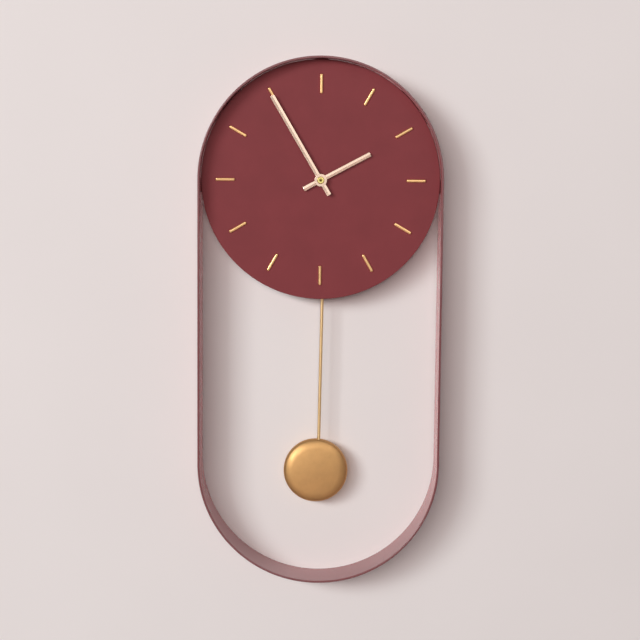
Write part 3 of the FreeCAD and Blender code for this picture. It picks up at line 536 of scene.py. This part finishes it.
def blade(tip, tail, back):
    """Straight blade at twelve o'clock, with a softened ridge, broken edges and square rounded ends."""
    turns = [math.radians(18 * step) for step in range(6)]
    rows = [(-tail + BLADE_CORNER * (1 - math.cos(turn)), BLADE_CORNER * (1 - math.sin(turn)))
            for turn in turns]
    rows += [(tip - (along + tail), shrink) for along, shrink in reversed(rows)]
    slope = (BLADE_RIDGE - BLADE_EDGE) / BLADE_HALF
    sections = []
    for along, shrink in rows:
        wide = BLADE_HALF - shrink
        drop = 0.18 * shrink / BLADE_CORNER
        edge, ridge = BLADE_EDGE - drop, BLADE_RIDGE - drop
        right = [(0.12, ridge - slope * 0.18), (0.30, ridge - slope * 0.30),
                 (wide - 0.18, edge + slope * 0.18), (wide - 0.05, edge - 0.05),
                 (wide, edge - 0.16), (wide, 0.0)]
        left = [(-x, height) for x, height in reversed(right)]
        sections.append([(x, back - height, along) for x, height in left + right])
    return sweep(sections, name="blade")


def hand(name, node, body, tip, tail, bore, clockwise):
    """Blade and round boss in one piece. tip, tail and bore are radii from the arbor."""
    low, high = box(node)
    front, back = low.y, high.y
    boss_profile = rounded([(bore, front), (HAND_BOSS_RADIUS, front), (HAND_BOSS_RADIUS, back), (bore, back)],
                           [0.1, 0.28, 0.05, 0.0])
    mesh = boolean(blade(tip, tail, back), [lathe(boss_profile, segments=128)], "UNION")
    bore_tool = lathe([(0, front - 2), (bore, front - 2), (bore, back + 2), (0, back + 2)], segments=64)
    mesh = boolean(mesh, [bore_tool], "DIFFERENCE")
    turned(mesh, math.radians(clockwise))
    add_piece(name, mesh, body, [node], "hand_gold", 24)


def hand_nut():
    """Round nut with a coin edge, a polished dished face and an open eye."""
    low, high = box("hand_nut")
    front, back = low.y, high.y
    profile = rounded(
        [(1.5, back), (3.3, back), (3.5, back - 0.2), (3.5, front + 0.75), (2.9, front), (1.5, front),
         (1.0, front + 0.4), (1.0, front + 0.6), (1.5, front + 0.6)],
        [0, 0.05, 0.05, 0.25, 0.3, 0.2, 0.1, 0, 0])

    def coin_edge(radius, angle):
        return radius - (0.07 * (1 + math.cos(40 * angle)) if radius > 3.25 else 0)

    mesh = lathe(profile, segments=240, wobble=coin_edge, name="hand_nut")
    add_piece("hand_nut_turned", mesh, "minute", ["hand_nut"], "nut_brass", 50)


def dial_nut_and_bushing():
    """Nut on the dial's front and the threaded bushing with its flange behind."""
    low, high = box("dial_nut")
    add_piece("dial_nut_chamfered", hex_nut(10.0, low.y, high.y, (0, 0), 4.0), "root",
              ["dial_nut"], "fitting_brass")
    low, high = box("bushing")
    flange = high.y - 0.6
    outer = thread_profile(4.0, low.y, flange, 0.75, 0.25, 0.3)[1:-1]
    profile = [(2.55, low.y)] + outer + [(6.0, flange), (6.0, high.y), (2.55, high.y)]
    add_piece("bushing_threaded", lathe(profile, segments=72), "root", ["bushing"], "fitting_brass")


# ---------------------------------------------------------------- pendulum

def bob():
    """Domed pressing with a rolled edge and a hemmed rim, over a dished steel back."""
    middle = (PIVOT.x, PIVOT.z - BOB_DROP)
    front, back = BOB_LOW.y, BOB_HIGH.y
    crown, shoulder = math.radians(BOB_CROWN_SLOPE), math.radians(BOB_SHOULDER_SLOPE)
    crown_reach = BOB_CROWN_RADIUS * math.sin(crown)
    shoulder_reach = BOB_SHOULDER_RADIUS * (math.sin(shoulder) - math.sin(crown))
    edge_radius = (BOB_RADIUS - crown_reach - shoulder_reach) / (1 - math.sin(shoulder))
    curves = ((BOB_CROWN_RADIUS, crown, 24), (BOB_SHOULDER_RADIUS, shoulder, 16),
              (edge_radius, math.pi / 2, 14))

    def half_outline(inset):
        """Face of the bob as crown, shoulder and edge, each at a tangent to the next."""
        radial, y, slope = 0.0, front + inset, 0.0
        points = [(radial, y)]
        for radius, end_slope, steps in curves:
            for step in range(1, steps + 1):
                angle = slope + (end_slope - slope) * step / steps
                points.append((radial + (radius - inset) * (math.sin(angle) - math.sin(slope)),
                               y + (radius - inset) * (math.cos(slope) - math.cos(angle))))
            radial, y = points[-1]
            slope = end_slope
        return points

    hem = [(BOB_RADIUS, back - 1.1), (BOB_RADIUS - 0.18, back - 0.95), (BOB_RADIUS - 0.18, back - 0.8),
           (BOB_RADIUS, back - 0.65), (BOB_RADIUS, back - 0.25), (BOB_RADIUS - 0.25, back)]
    inner = [(BOB_RADIUS - BOB_SKIN, back)] + list(reversed(half_outline(BOB_SKIN)))
    mesh = lathe(half_outline(0.0) + hem + inner, middle, 192, name="bob_front")
    add_piece("bob_front_pressed", on_pendulum(mesh), "pendulum", ["bob_front"], "bob_gold")

    low, high = box("bob_back")
    radius = (high.x - low.x) / 2
    rear = high.y
    profile = [(0, low.y), (radius, low.y), (radius, rear - 0.3), (radius - 0.3, rear), (radius - 3.0, rear),
               (radius - 3.5, rear - 0.25), (radius - 8.0, rear - 0.25), (radius - 8.5, rear), (6.5, rear),
               (6.0, rear - 0.3), (1.6, rear - 0.3), (1.2, rear - 0.6), (0, rear - 0.65)]
    mesh = lathe(profile, middle, 128, name="bob_back")
    add_piece("bob_back_dished", on_pendulum(mesh), "pendulum", ["bob_back"], "bob_steel")


def pendulum_rod():
    """Wire with a hook at the top. The straight part leaves the hook's bend at a tangent."""
    centre = PIVOT.z - HOOK_TOP - HOOK_RADIUS
    end = Vector((ROD_OFFSET, PIVOT.z - BOB_DROP - 8.0))
    run = math.hypot(end.x, end.y - centre)
    tangent = math.atan2(end.y - centre, end.x) + math.acos(HOOK_RADIUS / run)
    start = Vector((HOOK_RADIUS * math.cos(tangent), centre + HOOK_RADIUS * math.sin(tangent)))
    path = [end.lerp(start, step / 24) for step in range(24)]
    path += [Vector(point) for point in arc((0, centre), HOOK_RADIUS, math.degrees(tangent), 180, 24)]
    path += [Vector((-HOOK_RADIUS, centre - drop)) for drop in (1.5, 3.0, 4.2)]
    widths = [ROD_RADIUS] * len(path)
    for inset, scale in ((0.35, 0.97), (0.1, 0.86), (0.0, 0.66)):
        path.append(Vector((-HOOK_RADIUS, centre - 5.0 + inset)))
        widths.append(ROD_RADIUS * scale)
    sections = []
    for index, point in enumerate(path):
        along = (path[min(index + 1, len(path) - 1)] - path[max(index - 1, 0)]).normalized()
        across = Vector((along.y, -along.x))
        ring = []
        for side, depth in circle((0, 0), widths[index], 20):
            ring.append((point.x + across.x * side, PIVOT.y + depth, point.y + across.y * side))
        sections.append(ring)
    mesh = on_pendulum(sweep(sections, name="rod"))
    add_piece("pendulum_rod_drawn", mesh, "pendulum", ["pendulum_rod"], "rod_brass", 50)


def pendulum_lever():
    """Moulded lever: hub on the pivot pin, ribbed arm, and an upright tab with the hook hole."""
    y, z = PIVOT.y, PIVOT.z
    hub_profile = rounded([(LEVER_BORE, y - 4.0), (3.5, y - 4.0), (3.5, y + 3.0), (LEVER_BORE, y + 3.0)],
                          [0.1, 0.4, 0.4, 0.1])
    hub = lathe(hub_profile, (PIVOT.x, z), 64)
    arm_outline = rounded(rectangle(-3.0, 3.0, z - 50.0, z - 2.0), [1.2, 1.2, 0, 0])
    arm = plate(arm_outline, y - 1.0, y + 1.0, 0.3)
    ribs = [plate(rectangle(side - 0.45, side + 0.45, z - 47.0, z - 3.3), y + 0.8, y + 1.7, 0.15)
            for side in (-2.3, 2.3)]
    tab_outline = rounded(rectangle(y - 3.0, y + 3.0, z - 63.0, z - 47.0), [1.6, 1.6, 0.3, 0.3])
    tab = on_edge(plate(tab_outline, -0.9, 0.9, 0.25, [circle((y, z - 57.7), 2.0, 32)]))
    solid = boolean(arm, [hub, tab] + ribs, "UNION")
    bore = lathe([(0, y - 6), (LEVER_BORE, y - 6), (LEVER_BORE, y + 6), (0, y + 6)], (PIVOT.x, z), 40)
    solid = boolean(solid, [bore], "DIFFERENCE")
    add_piece("pendulum_lever_moulded", on_pendulum(solid), "pendulum", ["pendulum_lever"],
              "movement_black", 30)


# ---------------------------------------------------------------- hanger and brackets

def hanger_bar():
    """Flat bar across the back with the keyhole, and a weld bead at each end."""
    low, high = box("hanger_bar")
    front, back = low.y, high.y

    def end_arc(side):
        points = []
        for step in range(9):
            height = low.z + (high.z - low.z) * step / 8
            points.append((side * math.sqrt(INNER_RADIUS ** 2 - height ** 2), height))
        return points

    outline = end_arc(1) + list(reversed(end_arc(-1)))
    slot_top = high.z - 12.0
    meeting = math.degrees(math.asin(KEYHOLE_SLOT_RADIUS / KEYHOLE_RADIUS))
    keyhole = arc((0, slot_top - 9.0), KEYHOLE_RADIUS, 90 + meeting, 450 - meeting, 40)
    keyhole += arc((0, slot_top), KEYHOLE_SLOT_RADIUS, 0, 180, 20)
    parts = [plate(outline, front, back, 0.25, [keyhole])]
    for side in (-1, 1):
        count = 13
        for bead in range(count):
            height = low.z + 3 + (high.z - low.z - 6) * bead / (count - 1)
            reach = side * (math.sqrt(INNER_RADIUS ** 2 - height ** 2) - 0.6)
            blob = bmesh.new()
            bmesh.ops.create_uvsphere(blob, u_segments=14, v_segments=8, radius=1.0)
            size = 1.25 + 0.18 * math.sin(2.3 * bead + side)
            slope = math.atan2(height, side * 60)
            place = Matrix.Translation((reach, front, height)) @ Matrix.Rotation(-slope, 4, "Y")
            stretch = Matrix.Diagonal((size, 0.75, size * 1.15, 1))
            bmesh.ops.transform(blob, verts=blob.verts, matrix=place @ stretch)
            parts.append(mesh_from(blob, "bead"))
    add_piece("hanger_bar_welded", together(parts, "hanger"), "root", ["hanger_bar"], "bracket_steel", 45)


def bracket(node, clockwise, drop, curved):
    """Bent angle bracket, drawn at the top of the band and turned to its place."""
    thick, half, reach, depth = 1.5, 6.0, 18.0, 24.0
    front = DIAL_BACK
    side_view = rounded(
        [(front, INNER_RADIUS - reach), (front, INNER_RADIUS), (front + depth, INNER_RADIUS),
         (front + depth, INNER_RADIUS - thick), (front + thick, INNER_RADIUS - thick),
         (front + thick, INNER_RADIUS - reach)],
        [0.3, 1.9, 0.3, 0.3, 0.5, 0.3])
    mesh = on_edge(plate(side_view, -half, half, 0.2))
    hole = lathe([(0, front - 2), (1.7, front - 2), (1.7, front + 4), (0, front + 4)],
                 (0, INNER_RADIUS - STUD_INSET), 40)
    mesh = boolean(mesh, [hole], "DIFFERENCE")
    if curved:
        for vertex in mesh.vertices:
            x, _, z = vertex.co
            if z > INNER_RADIUS - 3:
                vertex.co.z = z - (INNER_RADIUS - math.sqrt(INNER_RADIUS ** 2 - x * x))
    turned(mesh, math.radians(clockwise))
    mesh.transform(Matrix.Translation((0, 0, -drop)))
    add_piece(node + "_bent", mesh, "root", [node], "bracket_steel", 32)


def studs_and_nuts():
    """Threaded studs on the dial's back, one to a bracket, and their nuts."""
    low, high = box("dial_studs")
    side = INNER_RADIUS - STUD_INSET
    places = ((-side, -6.0), (side, -6.0), (0, side))
    studs = [lathe(thread_profile(STUD_RADIUS, low.y, high.y, 0.5, 0.16, 0.2), at, 40) for at in places]
    add_piece("dial_studs_threaded", together(studs, "studs"), "root", ["dial_studs"], "screw_steel")
    low, high = box("bracket_nuts")
    nuts = [hex_nut(5.5, low.y, high.y, at, STUD_RADIUS) for at in places]
    add_piece("bracket_nuts_chamfered", together(nuts, "nuts"), "root", ["bracket_nuts"], "screw_steel")


# ---------------------------------------------------------------- movement housing

def movement_case():
    """Front shell: rounded box, open at the back, with a slot for the pendulum and four posts."""
    half = CASE_HIGH.x
    front, back = CASE_LOW.y, CASE_HIGH.y
    low, high = CASE_LOW.z, CASE_HIGH.z
    thick, corner = 1.5, 4.0
    inside = rectangle(-half + thick, half - thick, low + thick, high - thick)
    wall = plate(rounded(rectangle(-half, half, low, high), corner, 8), front, back, 0.25,
                 [rounded(inside, corner - thick, 8)])
    floor = plate(rounded(rectangle(-half + 0.4, half - 0.4, low + 0.4, high - 0.4), 3.6, 8), front + 0.01,
                  front + 1.5, 0.2, [circle((0, 0), 4.1)])
    shelf = plate(rectangle(-half + 1.2, 25.2, 18.4, 19.4), front + 1.0, back, 0.1)
    posts = []
    for at in CASE_SCREWS:
        posts.append(lathe(rounded([(1.0, front + 1.0), (2.6, front + 1.0), (2.6, back), (1.0, back)],
                                   [0, 0, 0.3, 0.1]), at, 40))
    for x, z, radius, top in ((0, PIVOT.z, 3.0, PIVOT.y - 4.5), (0, -60.0, 3.4, -21.5), (-17, -6, 2.0, -22.4),
                              (0, -14, 2.0, -22.4), (4, 14, 2.0, -22.4)):
        posts.append(lathe(rounded([(0, front + 1.0), (radius, front + 1.0), (radius, top), (0, top)],
                                   [0, 0, 0.2, 0]), (x, z), 40))
    solid = boolean(wall, [floor, shelf] + posts, "UNION")
    slot = plate(rounded(rectangle(-9, 9, low - 3, low + 1.7), 0.2), PIVOT.y - 5, back + 1, 0.1)
    grip = []
    for side in (-half, half):
        for height in range(-48, -28, 3):
            groove = rectangle(side - 0.5, side + 0.5, height, height + 1.2)
            grip.append(plate(groove, front + 4, back - 3, 0.1))
    solid = boolean(solid, [slot] + grip, "DIFFERENCE")
    add_piece("movement_case_moulded", solid, "root", ["movement_case"], "movement_black", 30)


def movement_cover():
    """Rear cover: battery window, raised pads, vents, polarity marks and a ring around the setting knob."""
    half = COVER_HIGH.x
    back = COVER_HIGH.y
    front = back - 1.5
    low, high = COVER_LOW.z, COVER_HIGH.z
    outline = rounded(rectangle(-half, half, low, high), 4.0, 8)
    window = rounded(rectangle(-25.4, 25.4, 20.0, 34.0), 1.0, 4)
    set_at = (SET_AXIS.x, SET_AXIS.z)
    holes = [window, circle(set_at, 1.05, 24)] + [circle(at, 1.1, 24) for at in CASE_SCREWS]
    for row in range(6):
        z = -42.0 - 3.2 * row
        holes.append(rounded(rectangle(-16, 16, z, z + 1.3), 0.6, 4))
    panel = plate(outline, front, back, 0.3, holes)
    raised = [lathe(rounded([(7.2, back - 0.2), (8.4, back - 0.2), (8.4, back + 0.5), (7.2, back + 0.5)],
                            [0, 0, 0.25, 0.25]), set_at, 72)]
    raised.append(lathe(rounded([(0, back - 0.2), (4.0, back - 0.2), (4.0, back + 0.35), (0, back + 0.35)],
                                [0, 0, 0.2, 0]), (PIVOT.x, PIVOT.z), 48))
    raised += [lathe(rounded([(2.3, back - 0.2), (3.4, back - 0.2), (3.4, back + 0.4), (2.3, back + 0.4)],
                             [0, 0, 0.2, 0.2]), at, 48) for at in CASE_SCREWS]
    for x in (-24.5, 24.5):
        raised.append(plate(rounded(rectangle(x - 0.7, x + 0.7, -64, 8), 0.6), back - 0.2, back + 0.4, 0.15))
    plus = (rectangle(17.6, 20.4, 16.6, 17.2), rectangle(18.7, 19.3, 15.5, 18.3))
    minus = (rectangle(-20.4, -17.6, 16.6, 17.2),)
    raised += [plate(stroke, back - 0.2, back + 0.3, 0.08) for stroke in plus + minus]
    boss = lathe(rounded([(1.0, front - 2.0), (3.0, front - 2.0), (3.0, front + 0.5), (1.0, front + 0.5)],
                         [0.1, 0.2, 0, 0]), (PIVOT.x, PIVOT.z), 48)
    solid = boolean(panel, raised + [boss], "UNION")
    add_piece("movement_cover_moulded", solid, "root", ["movement_cover"], "movement_black", 30)


def cover_screws():
    """Pan-head screws with a cross recess."""
    low, high = box("cover_screws")
    seat = COVER_HIGH.y
    top = high.y
    screws = []
    profile = [(0, low.y), (0.5, low.y + 0.7), (1.0, low.y + 1.2), (1.0, seat), (1.9, seat),
               (2.0, seat + 0.15), (2.0, seat + 0.5), (1.8, seat + 0.85), (1.3, seat + 1.1),
               (0.6, top), (0, top)]
    for x, z in CASE_SCREWS:
        arms = []
        for quarter in (0, 90):
            arm = plate(rounded(rectangle(-1.15, 1.15, -0.22, 0.22), 0.1, 2), top - 0.7, top + 1, 0.05)
            turned(arm, math.radians(31 * x + 17 * z + quarter))
            arm.transform(Matrix.Translation((x, 0, z)))
            arms.append(arm)
        screws.append(boolean(lathe(profile, (x, z), 48), arms, "DIFFERENCE"))
    add_piece("cover_screws_driven", together(screws, "screws"), "root", ["cover_screws"], "screw_steel", 40)


def set_knob():
    """Fluted knob with a dished end on its shaft, and the small pinion at the inner end."""
    low, high = box("set_knob")
    at = (SET_AXIS.x, SET_AXIS.z)
    back = high.y
    front = back - 3.7
    profile = rounded(
        [(0, front), (6.0, front), (6.0, back), (4.6, back), (4.3, back - 0.5), (0, back - 0.5)],
        [0, 0.3, 0.5, 0.15, 0.2, 0])

    def flutes(radius, angle):
        depth = 0.5 * max(0.0, math.cos(18 * angle)) ** 2
        return radius - (depth if radius > 5.4 else 0)

    knob = lathe(profile, at, 288, flutes)
    shaft_profile = [(0, low.y), (1.0, low.y), (1.0, front + 0.5), (0, front + 0.5)]
    shaft = lathe(rounded(shaft_profile, [0, 0.2, 0, 0]), at, 40)

    def leaves(radius, angle):
        return radius - (0.42 * (0.5 - 0.5 * math.cos(15 * angle)) if radius > 1.5 else 0)

    pinion = lathe([(0, -24.0), (2.05, -24.0), (2.05, -22.8), (0, -22.8)], at, 180, leaves)
    mark = plate(rounded(rectangle(-0.35, 0.35, 1.2, 3.6), 0.3, 3), back - 0.7, back - 0.3, 0.1)
    mark.transform(Matrix.Translation((at[0], 0, at[1])))
    mesh = together([knob, shaft, pinion, mark], "set_knob")
    add_piece("set_knob_fluted", mesh, "setting", ["set_knob"], "knob_plastic", 40)


def battery():
    """AA cell with a crimped sleeve, lying across the top of the movement."""
    low, high = box("battery")
    radius = (high.y - low.y) / 2
    y, z = (high.y + low.y) / 2, (high.z + low.z) / 2
    end = high.x - 1.8
    profile = rounded(
        [(0, low.x), (radius - 1.6, low.x), (radius - 1.4, low.x + 0.35), (radius, low.x + 0.35),
         (radius, end - 0.4), (radius - 1.2, end - 0.4), (radius - 1.5, end - 0.8), (4.4, end - 0.8),
         (4.2, end - 0.2), (2.75, end - 0.2), (2.75, high.x), (0, high.x)],
        [0, 0.2, 0.1, 0.6, 0.6, 0.15, 0.15, 0.1, 0.15, 0.1, 0.3, 0])
    mesh = lathe(profile, (0, 0), 96)
    # The cell is turned about Y and then laid along X
    mesh.transform(Matrix.Translation((0, y, z)) @ Matrix.Rotation(math.radians(-90), 4, "Z"))
    add_piece("battery_cell", mesh, "root", ["battery"], "battery_jacket", 40)


# ---------------------------------------------------------------- stage, light and camera

def sheet(name, corners, material):
    mesh = bpy.data.meshes.new(name)
    mesh.from_pydata(corners, [], [(0, 1, 2, 3)])
    mesh.materials.append(material)
    return new_object(name, mesh)


def stage():
    """Pale wall behind the clock, clear when it is seen from behind, and a pale floor."""
    half, ground, top = 4, -1.3, 3
    behind = 0.0003
    paint = Shader("wall_paint", (0.785, 0.745, 0.738), 0.9, Specular_IOR_Level=0.1)
    paint.mottle(6, 0.01)
    paint.bump(400, 0.03)
    side = paint.nodes.new("ShaderNodeNewGeometry")
    clear = paint.nodes.new("ShaderNodeBsdfTransparent")
    mix = paint.nodes.new("ShaderNodeMixShader")
    paint.links.new(side.outputs["Backfacing"], mix.inputs["Fac"])
    paint.links.new(paint.surface.outputs["BSDF"], mix.inputs[1])
    paint.links.new(clear.outputs["BSDF"], mix.inputs[2])
    paint.links.new(mix.outputs["Shader"], paint.nodes["Material Output"].inputs["Surface"])
    wall = sheet("wall", [(-half, behind, ground), (half, behind, ground), (half, behind, top),
                          (-half, behind, top)], paint.material)
    matt = Shader("floor_paint", (0.72, 0.67, 0.66), 0.8)
    matt.mottle(6, 0.01)
    floor = sheet("floor", [(-half, -half, ground), (half, -half, ground), (half, half, ground),
                            (-half, half, ground)], matt.material)
    floor.visible_diffuse = False
    wall.visible_shadow = False


def area_light(name, azimuth, elevation, distance, size, power, colour, diffuse=True, glossy=True):
    """Soft panel aimed at the clock. azimuth is to the left of the wall's normal, in degrees."""
    data = bpy.data.lights.new(name, "AREA")
    data.shape = "RECTANGLE"
    data.size, data.size_y = size
    data.energy = power
    data.color = colour
    lamp = new_object(name, data)
    turn, rise = math.radians(azimuth), math.radians(elevation)
    away = Vector((-math.sin(turn) * math.cos(rise), -math.cos(turn) * math.cos(rise), math.sin(rise)))
    aim = Vector((0, 0, -0.2))
    lamp.location = aim + away * distance
    lamp.rotation_mode = "QUATERNION"
    lamp.rotation_quaternion = (-away).to_track_quat("-Z", "Y")
    lamp.visible_camera = False
    lamp.visible_diffuse = diffuse
    lamp.visible_glossy = glossy


def lighting():
    """Even surroundings, a soft key and its helpers, and two panels that show only in gloss."""
    world = bpy.data.worlds.new("studio")
    bpy.context.scene.world = world
    world.use_nodes = True
    background = world.node_tree.nodes["Background"]
    background.inputs["Color"].default_value = (0.94, 0.94, 0.94, 1)
    paths = world.node_tree.nodes.new("ShaderNodeLightPath")
    strength = world.node_tree.nodes.new("ShaderNodeMapRange")
    strength.inputs["To Min"].default_value = 0.40
    strength.inputs["To Max"].default_value = 0.12
    world.node_tree.links.new(paths.outputs["Is Diffuse Ray"], strength.inputs["Value"])
    world.node_tree.links.new(strength.outputs["Result"], background.inputs["Strength"])
    area_light("key", 40, 16, 7.0, (2.5, 1.7), 236, (0.95, 1.0, 1.0))
    area_light("side", 21, 13, 7.0, (2.5, 1.7), 124, (1.0, 0.95, 0.93), glossy=False)
    area_light("fill", 1, 9, 4.0, (1.2, 0.9), 46, (1.0, 0.82, 0.79), glossy=False)
    area_light("back", 180, -8, 3.5, (2.0, 2.0), 60, (1.0, 0.98, 0.96))
    area_light("reflector_front", 0, 14, 4.0, (5.0, 2.4), 32, (1.0, 0.97, 0.95), diffuse=False)
    area_light("reflector_top", -26, 34, 4.0, (3.0, 1.4), 26, (1.0, 0.97, 0.95), diffuse=False)


def camera():
    """View from slightly above and a touch to the left, with a little roll."""
    data = bpy.data.cameras.new("camera")
    data.sensor_width = 36.0
    data.lens = 87.19
    data.clip_start, data.clip_end = 0.05, 50
    view = new_object("camera", data)
    place = Matrix.Translation((CENTRE.x - 0.003975, BAND_LOW.y / 1000 - 1.44949, CENTRE.z + 0.034667))
    spin = Matrix.Rotation(math.radians(-0.176), 4, "Z")
    tilt = Matrix.Rotation(math.radians(90 - 6.514), 4, "X")
    roll = Matrix.Rotation(math.radians(0.5164), 4, "Z")
    view.matrix_world = place @ spin @ tilt @ roll
    bpy.context.scene.camera = view


bpy.context.scene.view_settings.view_transform = "Standard"

band()
dial()
index_bars()
hand("hour_hand_satin", "hour_hand", "hour", tip=52.6, tail=18.2, bore=2.5, clockwise=61.9)
hand("minute_hand_satin", "minute_hand", "minute", tip=90.8, tail=16.2, bore=1.5, clockwise=-30.5)
hand_nut()
dial_nut_and_bushing()
bob()
pendulum_rod()
pendulum_lever()
hanger_bar()
bracket("dial_bracket_left", -90, 6.0, False)
bracket("dial_bracket_right", 90, 6.0, False)
bracket("dial_bracket_top", 0, 0.0, True)
studs_and_nuts()
movement_case()
movement_cover()
cover_screws()
set_knob()
battery()

for entry in frame["record"]["subparts"]:
    for material_slot in frame["nodes"][entry["node"]].material_slots:
        material_slot.material = MATERIALS[entry["material_slot"]]

# Painted shade: the shaft's brass is coloured dark so that its end shows as the dark spot (shade and dark
# reflection) in the nut's open eye
for material_slot in frame["nodes"]["minute_shaft"].material_slots:
    material_slot.material = MATERIALS["shaft_brass"]

stage()
lighting()
camera()
